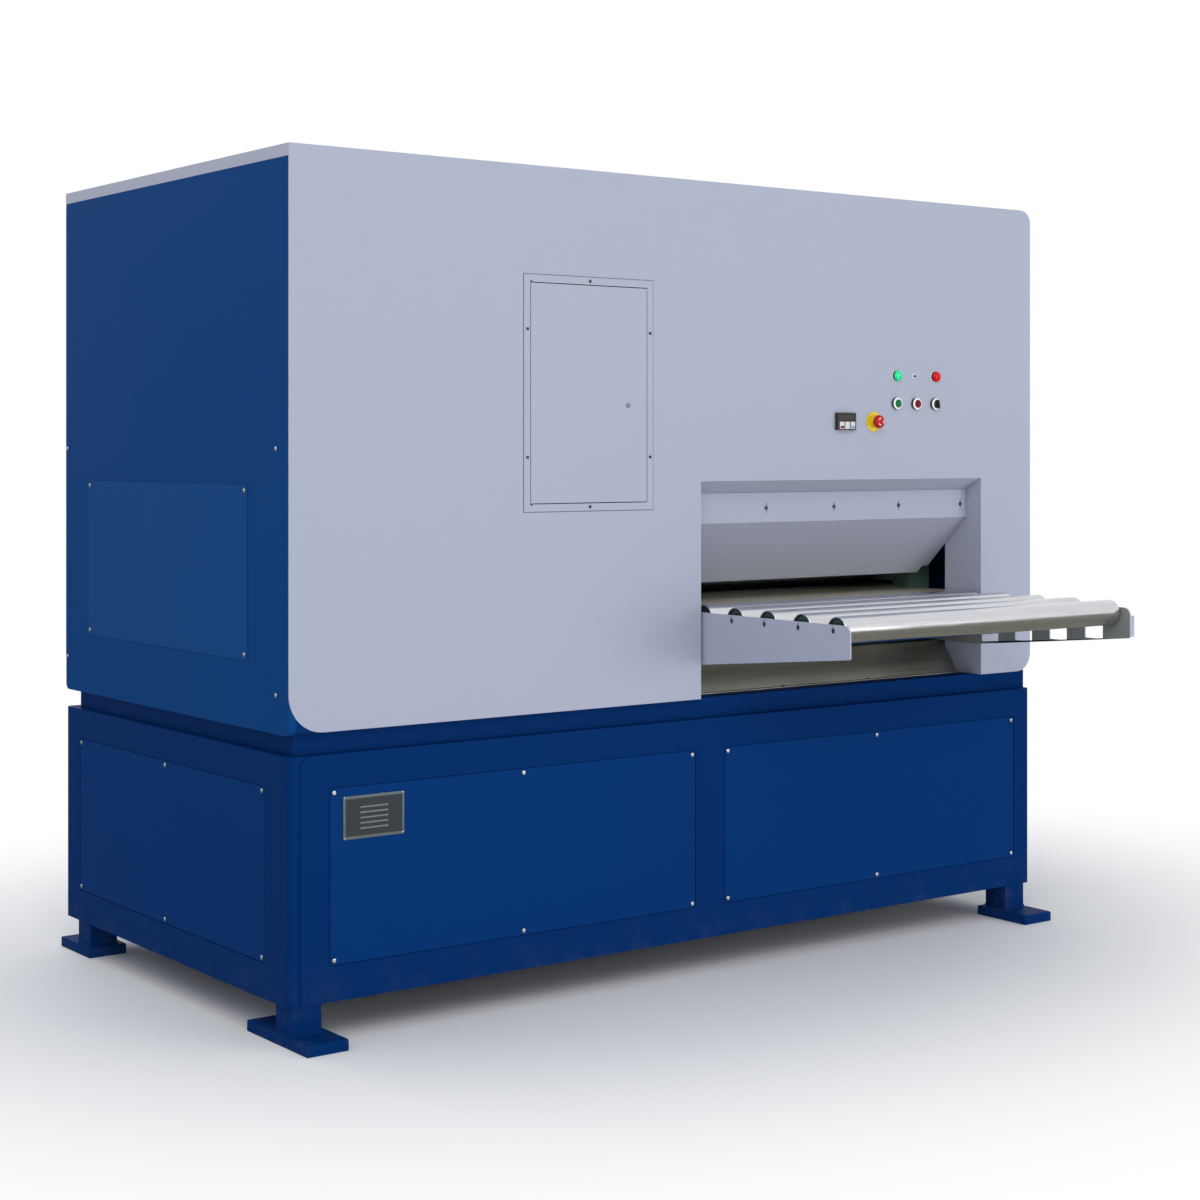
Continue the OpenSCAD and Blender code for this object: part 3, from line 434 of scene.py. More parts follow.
def paint(name, colour, roughness=0.5, peel=0.00004, tone=0.03, smear=0.0, grime=0.0,
          shine=0.015, inner=None):
    """Sprayed paint with orange peel and an uneven tone.

    smear adds wipe marks, grime adds floor dust, and inner gives a middle plane and the two
    distances from it between which faces are darkened grey-brown as painted shade.
    """
    f = Finish(name)
    spot = f.place()
    cloud = f.noise(spot, 1.6, 3.0)
    fine = f.noise(spot, 160.0, 3.0)
    body = f.mix(shade(colour, 1 - tone), shade(colour, 1 + tone), cloud)
    body = f.mix(body, shade(colour, 1 + tone), fine.step(0.60, 0.80) * 0.5)
    rough = roughness + (cloud - 0.5) * 0.10 + (fine - 0.5) * 0.06
    if smear:
        swirl = f.noise(f.place((1.0, 1.0, 0.55), (0.4, 0.0, 0.0)), 5.0, 7.0, 0.62, 2.2)
        wiped = swirl.step(0.50, 0.72) * cloud.step(0.35, 0.6) * smear
        body = f.mix(body, shade(colour, 1.5), wiped)
        rough = rough + wiped * 0.25
    if grime:
        height = f.add("SeparateXYZ", None, {0: spot}, output=2)
        patches = f.noise(spot, 14.0, 6.0, 0.65).step(0.42, 0.72)
        dust = (1.0 - height.step(0.0, DUST_HEIGHT)) * patches * grime
        body = f.mix(body, srgb(128, 126, 120), dust)
        rough = rough + dust * 0.3
    # Between the two distances the plates' inner faces turn grey-brown: painted shade.
    if inner:
        middle, near, far = inner
        across = (f.add("SeparateXYZ", None, {0: spot}) - middle).math("ABSOLUTE")
        shaded_inner = across.step(near, near + SEAM) * (1.0 - across.step(far, far + SEAM))
        body = f.mix(body, srgb(128, 130, 120), shaded_inner * (0.75 + cloud * 0.25))
    skin = f.noise(spot, 330.0, 1.0)
    normal = f.bump(skin, peel)
    return f.set(Base_Color=body, Roughness=rough, Normal=normal, Specular_IOR_Level=shine)


def metal(name, colour, roughness, streak, tone=0.12, grain=0.00002, speck=0.0):
    """Bare metal with a grain that runs along one axis: streak stretches the pattern."""
    f = Finish(name)
    along = f.place(streak)
    spot = f.place()
    grainy = f.noise(along, 60.0, 5.0, 0.6)
    cloud = f.noise(spot, 5.0, 4.0)
    body = f.mix(shade(colour, 1 - tone), shade(colour, 1 + tone), grainy)
    body = f.mix(body, shade(colour, 1 - tone), cloud.step(0.45, 0.75) * 0.6)
    rough = roughness + (grainy - 0.5) * 0.22 + (cloud - 0.5) * 0.12
    if speck:
        spots = 1.0 - f.cells(spot, 70.0).step(0.02, 0.16)
        body = f.mix(body, shade(colour, 0.45), spots * speck)
        rough = rough + spots * speck * 0.4
    normal = f.bump(f.noise(along, 240.0, 2.0), grain)
    return f.set(Base_Color=body, Roughness=rough, Metallic=1.0, Normal=normal)


def moulded(name, colour, roughness=0.35, grain=0.00003, **sockets):
    """Moulded plastic with a fine spark-eroded grain."""
    f = Finish(name)
    spot = f.place()
    fine = f.noise(spot, 700.0, 2.0)
    cloud = f.noise(spot, 60.0, 2.0)
    body = f.mix(shade(colour, 0.93), shade(colour, 1.05), cloud)
    rough = roughness + (fine - 0.5) * 0.12
    return f.set(Base_Color=body, Roughness=rough, Normal=f.bump(fine, grain), **sockets)


def cast(name, colour, roughness=0.5):
    """Thick paint over cast or welded steel, with a lumpy skin and a few rubbed spots."""
    f = Finish(name)
    spot = f.place()
    lump = f.noise(spot, 90.0, 4.0, 0.6)
    cloud = f.noise(spot, 4.0, 5.0)
    body = f.mix(shade(colour, 0.8), shade(colour, 1.2), cloud)
    body = f.mix(body, shade(colour, 2.0), lump.step(0.68, 0.85) * 0.5)
    rough = roughness + (lump - 0.5) * 0.3
    return f.set(Base_Color=body, Roughness=rough, Normal=f.bump(lump, 0.0003))


def spangled(name, colour):
    """Galvanised sheet, with the zinc's crystals in many tones."""
    f = Finish(name)
    spot = f.place()
    tone = f.add("SeparateColor", None, {0: f.cells(spot, 70.0, "Color")})
    body = f.mix(shade(colour, 0.8), shade(colour, 1.15), tone)
    rough = 0.35 + tone * 0.2
    return f.set(Base_Color=body, Roughness=rough, Metallic=0.9)


FINISHES = {}


def inner_faces():
    """The tables' middle, and the distances from it between which their plates' inner faces lie."""
    low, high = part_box("infeed_idler_1")
    half = (high.x - low.x) / 2
    return (low.x + high.x) / 2, half + 0.0095, half + 0.0114


def coats():
    """Makes every finish once, from the sizes and colours in the panel."""
    look = bpy.context.scene.leveller_covers
    base = bpy.context.scene.leveller_base
    knobs = bpy.context.scene.leveller_controls
    table = bpy.context.scene.leveller_tables
    even = (1, 1, 1)
    cover = tuple(look.cover_colour)
    FINISHES.update(
        lavender=paint("lavender paint", cover, 0.55, tone=0.01, shine=0.2),
        # The table paint darkens the plates' inner faces grey-brown as painted shade.
        table=paint("table paint", cover, 0.55, tone=0.01, shine=0.2, inner=inner_faces()),
        blue=paint("mid blue paint", tuple(look.side_colour), 0.45, smear=0.12),
        access=paint("access panel paint", tuple(look.access_colour), 0.45, smear=0.12),
        navy=paint("navy paint", tuple(base.frame_colour), 0.45, grime=0.08),
        base_blue=paint("base panel paint", tuple(base.panel_colour), 0.45, grime=0.05),
        green=cast("machine green paint", srgb(40, 62, 58)),
        # The stands' and beams' green is the machine green made lighter: painted light for the dim
        # inside of the cabinet.
        deep_green=cast("beam green paint", srgb(96, 128, 118)),
        casting=cast("cast iron paint", srgb(62, 68, 66)),
        steel=metal("zinc plated steel", (0.62, 0.63, 0.64), 0.30, even),
        # Blackened steel; on the covers' screw heads and the idler axles its darkness is painted
        # shade.
        burnt=metal("blackened steel", (0.09, 0.09, 0.1), 0.45, even),
        dull=metal("dulled steel", (0.24, 0.25, 0.29), 0.5, even),
        chrome=metal("idler tube chrome", tuple(table.idler_colour), 0.22, (0.08, 3, 3), 0.14,
                     speck=0.15),
        roll=metal("ground roll steel", (0.30, 0.32, 0.33), 0.3, (0.08, 4, 4), 0.1),
        tray=metal("brushed tray steel", tuple(table.tray_colour), 0.36, (0.05, 2, 2), 0.25,
                   speck=0.2),
        deck=metal("deck steel", tuple(table.deck_colour), 0.42, (0.06, 2, 2), 0.10,
                   speck=0.1),
        zinc=spangled("galvanised sheet", (0.50, 0.52, 0.53)),
        black=moulded("black plastic", (0.018, 0.018, 0.02), 0.42),
        # A grey strip around the door frame: painted shadow for the frame's edge.
        seal=moulded("door seal", srgb(96, 98, 108), 0.75),
        white=moulded("white collar plastic", srgb(250, 250, 248), 0.3),
        grey=moulded("grey plastic", srgb(120, 122, 120), 0.45),
        green_cap=moulded("green cap", tuple(knobs.start_colour), 0.3,
                          Specular_IOR_Level=0.15),
        red_cap=moulded("red cap", tuple(knobs.stop_colour), 0.3, Specular_IOR_Level=0.15),
        stop_red=moulded("stop head red", tuple(knobs.stop_head_colour), 0.3,
                         Specular_IOR_Level=0.2),
        yellow=moulded("stop ring yellow", tuple(knobs.ring_colour), 0.35),
        green_lens=moulded("green lens", tuple(knobs.green_lamp_colour), 0.12,
                           Emission_Strength=0.25,
                           Emission_Color=(*knobs.green_lamp_colour, 1.0)),
        red_lens=moulded("red lens", tuple(knobs.red_lamp_colour), 0.12,
                         Emission_Strength=0.15, Specular_IOR_Level=0.25,
                         Emission_Color=(*knobs.red_lamp_colour, 1.0)),
        window=moulded("display window", (0.012, 0.014, 0.013), 0.08),
        digits=moulded("display segments", (0.16, 0.05, 0.04), 0.4),
        key=moulded("pale key", srgb(214, 214, 220), 0.35),
        plate=metal("nameplate metal", srgb(96, 106, 110), 0.35, (0.1, 2, 2), 0.08),
        field=paint("nameplate field", srgb(62, 68, 70), 0.5),
        blue_key=moulded("blue key mark", srgb(120, 150, 190), 0.35),
    )


BODY_OF = {n: b for b, nodes in frame["record"]["behaviour"]["bodies"].items() for n in nodes}
ROOT = "cabinet"


def soften(node, finish, width, segments=2, name=None):
    """Stands a copy with rounded edges in for a node of the frame."""
    obj = from_frame(node, name or node + "_finished", width, segments)
    return finish_piece(obj, FINISHES[finish], BODY_OF[node], (node,))


def colour_prop(name, description, red, green, blue):
    """A colour in the panel, from its 0 to 255 values."""
    return FloatVectorProperty(
        name=name, description=description, subtype="COLOR", size=3, min=0, max=1,
        default=srgb(red, green, blue),
    )


def length_prop(name, description, default):
    """A length in the panel, in metres."""
    return FloatProperty(
        name=name, description=description, default=default, min=0,
        subtype="DISTANCE", unit="LENGTH",
    )


class LevellerBase(bpy.types.PropertyGroup):
    """Base frame, feet and panels."""

    frame_colour: colour_prop(
        "Frame colour", "Paint of the base frame, the bed and the feet", 4, 47, 104)
    panel_colour: colour_prop("Panel colour", "Paint of the screwed panels", 6, 54, 114)
    edge: length_prop("Edge", "Rounding of the frame's edges", 0.004)
    weld: length_prop("Weld", "Radius of the weld beads at the feet", 0.006)


class LevellerCovers(bpy.types.PropertyGroup):
    """Cabinet covers, door and the openings' linings."""

    cover_colour: colour_prop("Cover colour", "Paint of the front, rear and roof", 175, 180, 198)
    side_colour: colour_prop("Side colour", "Paint of the side covers", 12, 65, 125)
    access_colour: colour_prop("Access colour", "Paint of the side access panels", 22, 72, 132)
    edge: length_prop("Edge", "Rounding of the sheets' edges", 0.001)


class LevellerTables(bpy.types.PropertyGroup):
    """Idler tables and the steel sheets of the openings."""

    idler_colour: colour_prop("Idler colour", "Chrome of the idlers", 208, 209, 213)
    tray_colour: colour_prop("Tray colour", "Steel sheet under the table", 172, 170, 160)
    deck_colour: colour_prop("Deck colour", "Steel sheet behind the idlers", 214, 208, 186)
    tube_wall: length_prop("Tube wall", "Wall that shows at the idlers' ends", 0.004)
    recess: length_prop("Recess", "Depth of the idlers' end caps in the tube", 0.009)


class LevellerControls(bpy.types.PropertyGroup):
    """Lamps, buttons and the counter."""

    start_colour: colour_prop("Start colour", "Cap of the start button", 14, 110, 70)
    stop_colour: colour_prop("Stop colour", "Cap of the stop button", 124, 8, 26)
    stop_head_colour: colour_prop(
        "Stop head colour", "Head of the emergency stop", 190, 30, 26)
    ring_colour: colour_prop(
        "Ring colour", "Ring and collar of the emergency stop", 236, 208, 30)
    green_lamp_colour: colour_prop("Green lamp colour", "Lens of the green lamp", 18, 214, 138)
    red_lamp_colour: colour_prop("Red lamp colour", "Lens of the red lamp", 206, 8, 12)


class LevellerStage(bpy.types.PropertyGroup):
    """Floor, lamps and camera."""

    floor_colour: colour_prop("Floor colour", "Plain floor", 248, 248, 248)
    sky: FloatProperty(
        name="Sky", description="Strength of the plain surroundings", default=0.62, min=0)
    key_lamp: FloatProperty(
        name="Key lamp", description="Power of the large lamp", default=232, min=0, unit="POWER")
    fill_lamp: FloatProperty(
        name="Fill lamp", description="Power of the side lamp", default=230, min=0, unit="POWER")
    lens: FloatProperty(
        name="Lens", description="Focal length", default=65.8, min=1, unit="CAMERA")
    shift: FloatProperty(
        name="Shift", description="Vertical shift of the frame", default=-0.1273)
    eye: FloatVectorProperty(
        name="Eye", description="Place of the camera", size=3, subtype="XYZ", unit="LENGTH",
        default=(-4.731, -6.593, 1.786)
    )
    turn: FloatProperty(
        name="Turn", description="Heading of the camera", subtype="ANGLE", unit="ROTATION",
        default=math.radians(-36.57)
    )


class LEVELLER_OT_finishes(bpy.types.Operator):
    """Makes the paints, metals and plastics"""

    bl_idname = "leveller.finishes"
    bl_label = "Finishes"

    def execute(self, context):
        coats()
        return {"FINISHED"}


def centre(node):
    """The middle of a node's box."""
    low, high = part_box(node)
    return (low + high) / 2


def weld_bead(name, start, length, axis, radius):
    """A bead with its ripples, laid from a point along an axis."""
    ripples = round(length / (radius * 0.9))
    pitch = length / ripples
    profile = []
    for k in range(ripples):
        profile.append((radius * 0.86, k * pitch))
        profile.append((radius, (k + 0.55) * pitch))
    profile.append((radius * 0.7, length))
    return turned(name, start, axis, profile, sides=10)


class LEVELLER_OT_base(bpy.types.Operator):
    """Finishes the base frame, its feet, panels, bed and screws"""

    bl_idname = "leveller.base"
    bl_label = "Base"

    def execute(self, context):
        size = context.scene.leveller_base
        soften("base_frame", "navy", size.edge, 3)
        soften("foot_pads", "navy", size.edge * 0.6)
        soften("base_panels", "base_blue", 0.0009)
        soften("bed_plate", "navy", 0.002)
        self.screws()
        self.welds(size.weld)
        return {"FINISHED"}

    def screws(self):
        """The screws come apart: bright heads on blue paint, and dark heads elsewhere, whose
        darkness is painted shade.
        """
        front_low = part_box("front_cover")[0]
        bed_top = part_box("bed_plate")[1].z
        whole = from_frame("panel_screws", "screws", 0)
        edit(whole)
        bpy.ops.mesh.separate(type="LOOSE")
        leave()
        heads = {"bright": [], "dark": []}
        for head in list(bpy.context.selected_objects):
            spot = head.data.vertices[0].co
            inside = front_low.x + 0.02 < spot.x < -front_low.x - 0.02
            heads["dark" if inside and spot.z > bed_top else "bright"].append(head)
        for head in heads["dark"]:
            self.slim(head)
        # The dark heads take the blackened finish as painted shade.
        for name, finish, nodes in (
            ("bright", "steel", ("panel_screws",)), ("dark", "burnt", ()),
        ):
            screws = joined(name + "_screws", heads[name])
            finish_piece(screws, FINISHES[finish], ROOT, nodes, bevel=0.0004)

    def slim(self, head):
        """The heads on the door frame are smaller than the others."""
        low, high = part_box("door_frame")
        spots = [v.co for v in head.data.vertices]
        middle = sum(spots, Vector()) / len(spots)
        if not (low.x < middle.x < high.x and low.z < middle.z < high.z):
            return
        edit(head)
        bpy.ops.transform.resize(value=(0.7, 1, 0.7), center_override=middle)
        leave()

    def welds(self, radius):
        """Beads along the four sides of each leg, on its pad."""
        pad_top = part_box("foot_pads")[1].z
        spans = {"x": set(), "y": set()}
        for corner in frame["nodes"]["base_frame"].data.vertices:
            if corner.co.z < pad_top + 0.001:
                spans["x"].add(round(corner.co.x, 4))
                spans["y"].add(round(corner.co.y, 4))
        beads = []
        xs, ys = sorted(spans["x"]), sorted(spans["y"])
        half_x, half_y = len(xs) // 2, len(ys) // 2
        for x0, x1 in ((xs[0], xs[half_x - 1]), (xs[half_x], xs[-1])):
            for y0, y1 in ((ys[0], ys[half_y - 1]), (ys[half_y], ys[-1])):
                for start, axis, length in (
                    ((x0, y0, pad_top), "+X", x1 - x0), ((x0, y1, pad_top), "+X", x1 - x0),
                    ((x0, y0, pad_top), "+Y", y1 - y0), ((x1, y0, pad_top), "+Y", y1 - y0),
                ):
                    beads.append(weld_bead("bead", start, length, axis, radius))
        finish_piece(joined("foot_welds", beads), FINISHES["navy"], ROOT)


class LEVELLER_OT_covers(bpy.types.Operator):
    """Finishes the cabinet's covers and the electric box's door"""

    bl_idname = "leveller.covers"
    bl_label = "Covers"

    def execute(self, context):
        edge = context.scene.leveller_covers.edge
        for node in ("front_cover", "rear_cover", "top_cover", "opening_reveals",
                     "guard_hoods", "door_frame", "door_leaf"):
            soften(node, "lavender", edge * 0.9)
        for node in ("left_side_cover", "right_side_cover"):
            soften(node, "blue", edge)
        soften("side_access_panels", "access", edge * 0.8)
        soften("door_lock", "dull", edge * 0.5)
        self.gussets()
        self.gasket()
        self.pins()
        return {"FINISHED"}

    def gussets(self):
        """Angles behind the covers' rounded lower left corners, beside the left cover."""
        front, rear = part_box("front_cover")[0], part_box("rear_cover")[1]
        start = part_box("left_side_cover")[1].x + 0.0003
        end = front.x + 0.1177
        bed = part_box("bed_plate")[1].z + 0.0002
        parts = []
        for face, inward in ((front.y, 1), (rear.y, -1)):
            for near, far, tall in ((0.0033, 0.0063, 0.060), (0.0063, 0.0250, 0.003)):
                y0, y1 = sorted((face + near * inward, face + far * inward))
                parts.append(block("angle", (start, y0, bed), (end, y1, bed + tall)))
        finish_piece(joined("corner_gussets", parts), FINISHES["navy"], ROOT, bevel=0.0004)

    def gasket(self):
        """A thin dark strip around the door frame: painted shadow that shows as a line along the
        frame's edges.
        """
        low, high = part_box("door_frame")
        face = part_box("front_cover")[0].y
        width = 0.0022
        bars = []
        for x0, x1, z0, z1 in (
            (low.x - width, high.x + width, high.z, high.z + width),
            (low.x - width, high.x + width, low.z - width, low.z),
            (low.x - width, low.x, low.z, high.z),
            (high.x, high.x + width, low.z, high.z),
        ):
            bars.append(block("bar", (x0, face - 0.0008, z0), (x1, face + 0.0004, z1)))
        finish_piece(joined("door_gasket", bars), FINISHES["seal"], ROOT)

    def pins(self):
        """The heads of the two hinge pins, sunk in the door frame's corners."""
        low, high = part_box("door_leaf")
        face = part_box("door_frame")[0].y
        heads = []
        for z in (low.z + 0.004, high.z - 0.004):
            spot = (low.x + 0.002, face + 0.0004, z)
            heads.append(turned("pin", spot, "-Y", HINGE_PIN, sides=24))
        finish_piece(joined("hinge_pin_heads", heads), FINISHES["burnt"], ROOT)


class LEVELLER_OT_tables(bpy.types.Operator):
    """Models the idlers and finishes the tables and steel sheets"""

    bl_idname = "leveller.tables"
    bl_label = "Tables"

    def execute(self, context):
        size = context.scene.leveller_tables
        soften("table_frames", "table", 0.0012)
        # The axles' dark finish is painted shade, so that their ends read as dark holes in the
        # plates.
        soften("idler_axles", "burnt", 0.0012)
        self.sheets()
        for node in sorted(frame["nodes"]):
            if "feed_idler" in node:
                self.idler(node, size)
        return {"FINISHED"}

    def sheets(self):
        """The trays and decks come apart, because their steel differs."""
        whole = from_frame("steel_guides", "guides", 0)
        edit(whole)
        bpy.ops.mesh.separate(type="LOOSE")
        leave()
        split = {"tray": [], "deck": []}
        for part in list(bpy.context.selected_objects):
            low = min(v.co.z for v in part.data.vertices)
            split["tray" if low < 1.0 else "deck"].append(part)
        for name, pieces in split.items():
            obj = joined(name + "_sheets", pieces)
            nodes = ("steel_guides",) if name == "tray" else ()
            finish_piece(obj, FINISHES[name], ROOT, nodes, bevel=0.0008)

    def idler(self, node, size):
        """A tube with open ends, and its two bearing caps."""
        low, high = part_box(node)
        radius = (high.z - low.z) / 2
        inner = radius - size.tube_wall
        length = high.x - low.x
        place = (low.x, (low.y + high.y) / 2, (low.z + high.z) / 2)
        edge = 0.0012
        tube = turned(node + "_tube", place, "+X", [
            (inner, size.recess), (inner, 0.0015), (inner + edge, 0), (radius - edge, 0),
            (radius, edge), (radius, length - edge), (radius - edge, length),
            (inner + edge, length), (inner, length - 0.0015), (inner, length - size.recess),
        ], sides=96)
        finish_piece(tube, FINISHES["chrome"], BODY_OF[node], (node,), angle=25)
        caps = []
        for axis, x in (("-X", low.x + size.recess + 0.001), ("+X", high.x - size.recess - 0.001)):
            caps.append(turned("cap", (x, place[1], place[2]), axis, [
                (inner - 0.0004, 0), (inner - 0.0004, 0.0014), (inner - 0.004, 0.003),
                (0.024, 0.003), (0.0225, 0.0012), (0.0175, 0.0012), (0.0165, 0.0035),
                (0.0120, 0.0035), (0.0112, 0.001), (0.0094, 0.001),
            ], sides=64))
        both = joined(node + "_caps", caps)
        finish_piece(both, FINISHES["green"], BODY_OF[node])


class LEVELLER_OT_machinery(bpy.types.Operator):
    """Finishes the stands, beams, rolls, jacks and drive inside the cabinet"""

    bl_idname = "leveller.machinery"
    bl_label = "Machinery"

    def execute(self, context):
        # Their green is lightened as painted light, because they stand in the cabinet's shade.
        for node in ("roller_stands", "lower_beam", "upper_beam"):
            soften(node, "deep_green", 0.002)
        for node in ("jack_housings", "gearbox"):
            soften(node, "casting", 0.003)
        soften("drive_motor", "blue", 0.0015)
        soften("jack_screws", "steel", 0.001)
        soften("drive_coupling", "steel", 0.002)
        for node in sorted(frame["nodes"]):
            if node.startswith(("lower_roll", "upper_roll")):
                soften(node, "roll", 0.0015)
        return {"FINISHED"}


class LEVELLER_OT_electrics(bpy.types.Operator):
    """Finishes the electric box and what it holds"""

    bl_idname = "leveller.electrics"
    bl_label = "Electric box"

    def execute(self, context):
        soften("electric_box", "zinc", 0.0006)
        soften("electric_modules", "grey", 0.002)
        return {"FINISHED"}


class LEVELLER_OT_controls(bpy.types.Operator):
    """Models the lamps, buttons, counter and nameplate"""

    bl_idname = "leveller.controls"
    bl_label = "Controls"

    def execute(self, context):
        self.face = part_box("front_cover")[0].y
        self.lamps()
        self.collars()
        self.buttons()
        self.selector()
        self.stop_head()
        self.counter()
        self.nameplate()
        return {"FINISHED"}

    def lamps(self):
        """Two domed lamps on pale rims, and a small pilot lamp."""
        low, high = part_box("indicator_lamps")
        z = low.z + (high.z - low.z) / 2
        rims = []
        sleeves = []
        for name, x, lens in (("green", centre("start_button").x, "green_lens"),
                              ("red", centre("selector_switch").x, "red_lens")):
            rims.append(turned("rim", (x, self.face, z), "-Y", LAMP_RIM, sides=64))
            seat = (x, self.face - LAMP_SEAT, z)
            sleeves.append(turned("sleeve", seat, "-Y", LAMP_SLEEVE, sides=64))
            dome = turned(name + "_lens", seat, "-Y", LAMP_DOME, sides=64)
            finish_piece(dome, FINISHES[lens], ROOT, angle=60)
        finish_piece(joined("lamp_rims", rims), FINISHES["white"], ROOT,
                     ("indicator_lamps",))
        finish_piece(joined("lamp_sleeves", sleeves), FINISHES["black"], ROOT)
        x = centre("start_button").x + PILOT_STEP
        nut = turned("pilot_rim", (x, self.face, z), "-Y", PILOT_RIM, sides=32)
        finish_piece(nut, FINISHES["white"], ROOT)
        seat = (x, self.face - PILOT_SEAT, z)
        bead = turned("pilot_lens", seat, "-Y", PILOT_DOME, sides=32)
        finish_piece(bead, FINISHES["black"], ROOT, angle=60)

    def collars(self):
        """Black collars with a white front ring, and the stop button's yellow ring."""
        rings, flanks = [], []
        for node in ("start_button", "stop_button", "selector_switch"):
            spot = centre(node)
            seat = (spot.x, self.face, spot.z)
            flanks.append(turned("flank", seat, "-Y", COLLAR_FLANK, sides=72))
            rings.append(turned("ring", seat, "-Y", COLLAR_RING, sides=72))
        finish_piece(joined("collar_flanks", flanks), FINISHES["black"], ROOT,
                     angle=40)
        finish_piece(joined("button_collars", rings), FINISHES["white"], ROOT,
                     ("control_collars",), angle=40)
        spot = centre("estop_button")
        ring = turned("stop_ring", (spot.x, self.face, spot.z), "-Y", STOP_RING, sides=72)
        finish_piece(ring, FINISHES["yellow"], ROOT, angle=40)

    def buttons(self):
        """Caps with a dished face."""
        for node, finish in (("start_button", "green_cap"), ("stop_button", "red_cap")):
            spot = centre(node)
            foot = (spot.x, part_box(node)[1].y, spot.z)
            cap = turned(node + "_cap", foot, "-Y", BUTTON_CAP, sides=64)
            finish_piece(cap, FINISHES[finish], BODY_OF[node], (node,), angle=50)

    def selector(self):
        """A round knob with its grip and white pointer."""
        node = "selector_switch"
        spot = centre(node)
        low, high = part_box(node)
        disc = turned("disc", (spot.x, high.y, spot.z), "-Y", SELECTOR_DISC, sides=64)
        grip = block("grip", (spot.x - 0.0045, low.y, spot.z - 0.0165),
                     (spot.x + 0.0045, low.y + 0.0125, spot.z + 0.0165))
        edit(grip)
        choose(grip, lambda f: f.normal.y < -0.9)
        bpy.ops.transform.resize(value=(0.72, 1, 0.94), center_override=(spot.x, low.y, spot.z))
        leave()
        rounded(grip, 0.0016, 3)
        knob = joined("selector_knob", [disc, grip])
        finish_piece(knob, FINISHES["black"], BODY_OF[node], (node,))
        mark = block("selector_mark", (spot.x - 0.0009, low.y - 0.0002, spot.z + 0.003),
                     (spot.x + 0.0009, low.y + 0.0006, spot.z + 0.0145))
        finish_piece(mark, FINISHES["white"], BODY_OF[node], bevel=0.0001)

    def stop_head(self):
        """A mushroom head on its stem."""
        node = "estop_button"
        spot = centre(node)
        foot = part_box(node)[1].y
        face = self.face - STOP_REACH
        lift = foot - face
        neck = lift - STOP_NECK_LENGTH
        shape = [(STOP_STEM, 0.0), (STOP_STEM, neck), (STOP_NECK, neck)]
        shape += [(radius, lift + rise) for radius, rise in STOP_CAP]
        head = turned("stop_head", (spot.x, foot, spot.z), "-Y", shape, sides=72)
        finish_piece(head, FINISHES["stop_red"], BODY_OF[node], (node,), angle=50)
        mark = turned("arc", (spot.x, face - 0.0150, spot.z), "-Y",
                      [(0.0034, 0.0), (0.0030, 0.0025)], sides=24)
        edit(mark)
        bpy.ops.transform.resize(value=(0.6, 1, 2.2), center_override=(spot.x, face, spot.z))
        bpy.ops.transform.translate(value=(0.0122, 0, 0))
        leave()
        marks = [mark]
        for k in (1, 2):
            twin = copied(mark, "arc", (0, 0, 0))
            edit(twin)
            bpy.ops.transform.rotate(
                value=math.radians(120 * k), orient_axis="Y",
                center_override=(spot.x, face, spot.z),
            )
            leave()
            marks.append(twin)
        marks = joined("stop_head_marks", marks)
        finish_piece(marks, FINISHES["white"], BODY_OF[node])

    def counter(self):
        """A counter with a sunk window, four figures and three keys."""
        node = "counter_display"
        low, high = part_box(node)
        body = block("counter_case", (low.x, low.y + 0.003, low.z), high)
        cut(body, block("tool", (low.x + 0.005, low.y, low.z + 0.034),
                        (high.x - 0.005, low.y + 0.0050, high.z - 0.005)))
        finish_piece(body, FINISHES["black"], ROOT, (node,), bevel=0.0012)
        pane = block("counter_window", (low.x + 0.0055, low.y + 0.0042, low.z + 0.0345),
                     (high.x - 0.0055, low.y + 0.0052, high.z - 0.0055))
        finish_piece(pane, FINISHES["window"], ROOT, bevel=0.0003)
        self.figures(low, high)
        for k, finish in enumerate(("red_cap", "key", "blue_key")):
            x = (low.x + high.x) / 2 + (k - 1) * KEY_PITCH
            key = block(f"counter_key_{k + 1}", (x - 0.0105, low.y, low.z + 0.004),
                        (x + 0.0105, low.y + 0.0036, low.z + 0.030))
            finish_piece(key, FINISHES["key"], ROOT, bevel=0.0014)
            dot = block(f"counter_key_mark_{k + 1}", (x - 0.0080, low.y - 0.0003, low.z + 0.0065),
                        (x + 0.0080, low.y + 0.0006, low.z + 0.0150))
            finish_piece(dot, FINISHES[finish], ROOT, bevel=0.0002)

    def figures(self, low, high):
        """Four plain noughts of six bars each."""
        bars = []
        for k in range(FIGURES):
            x = (low.x + high.x) / 2 + (k - (FIGURES - 1) / 2) * FIGURE_PITCH
            y = low.y + 0.0040
            z = low.z + 0.0455
            for dx, dz, wide, tall in FIGURE_BARS:
                bars.append(block("bar", (x + dx - wide / 2, y, z + dz - tall / 2),
                                  (x + dx + wide / 2, y + 0.0004, z + dz + tall / 2)))
        finish_piece(joined("counter_figures", bars), FINISHES["digits"], ROOT)

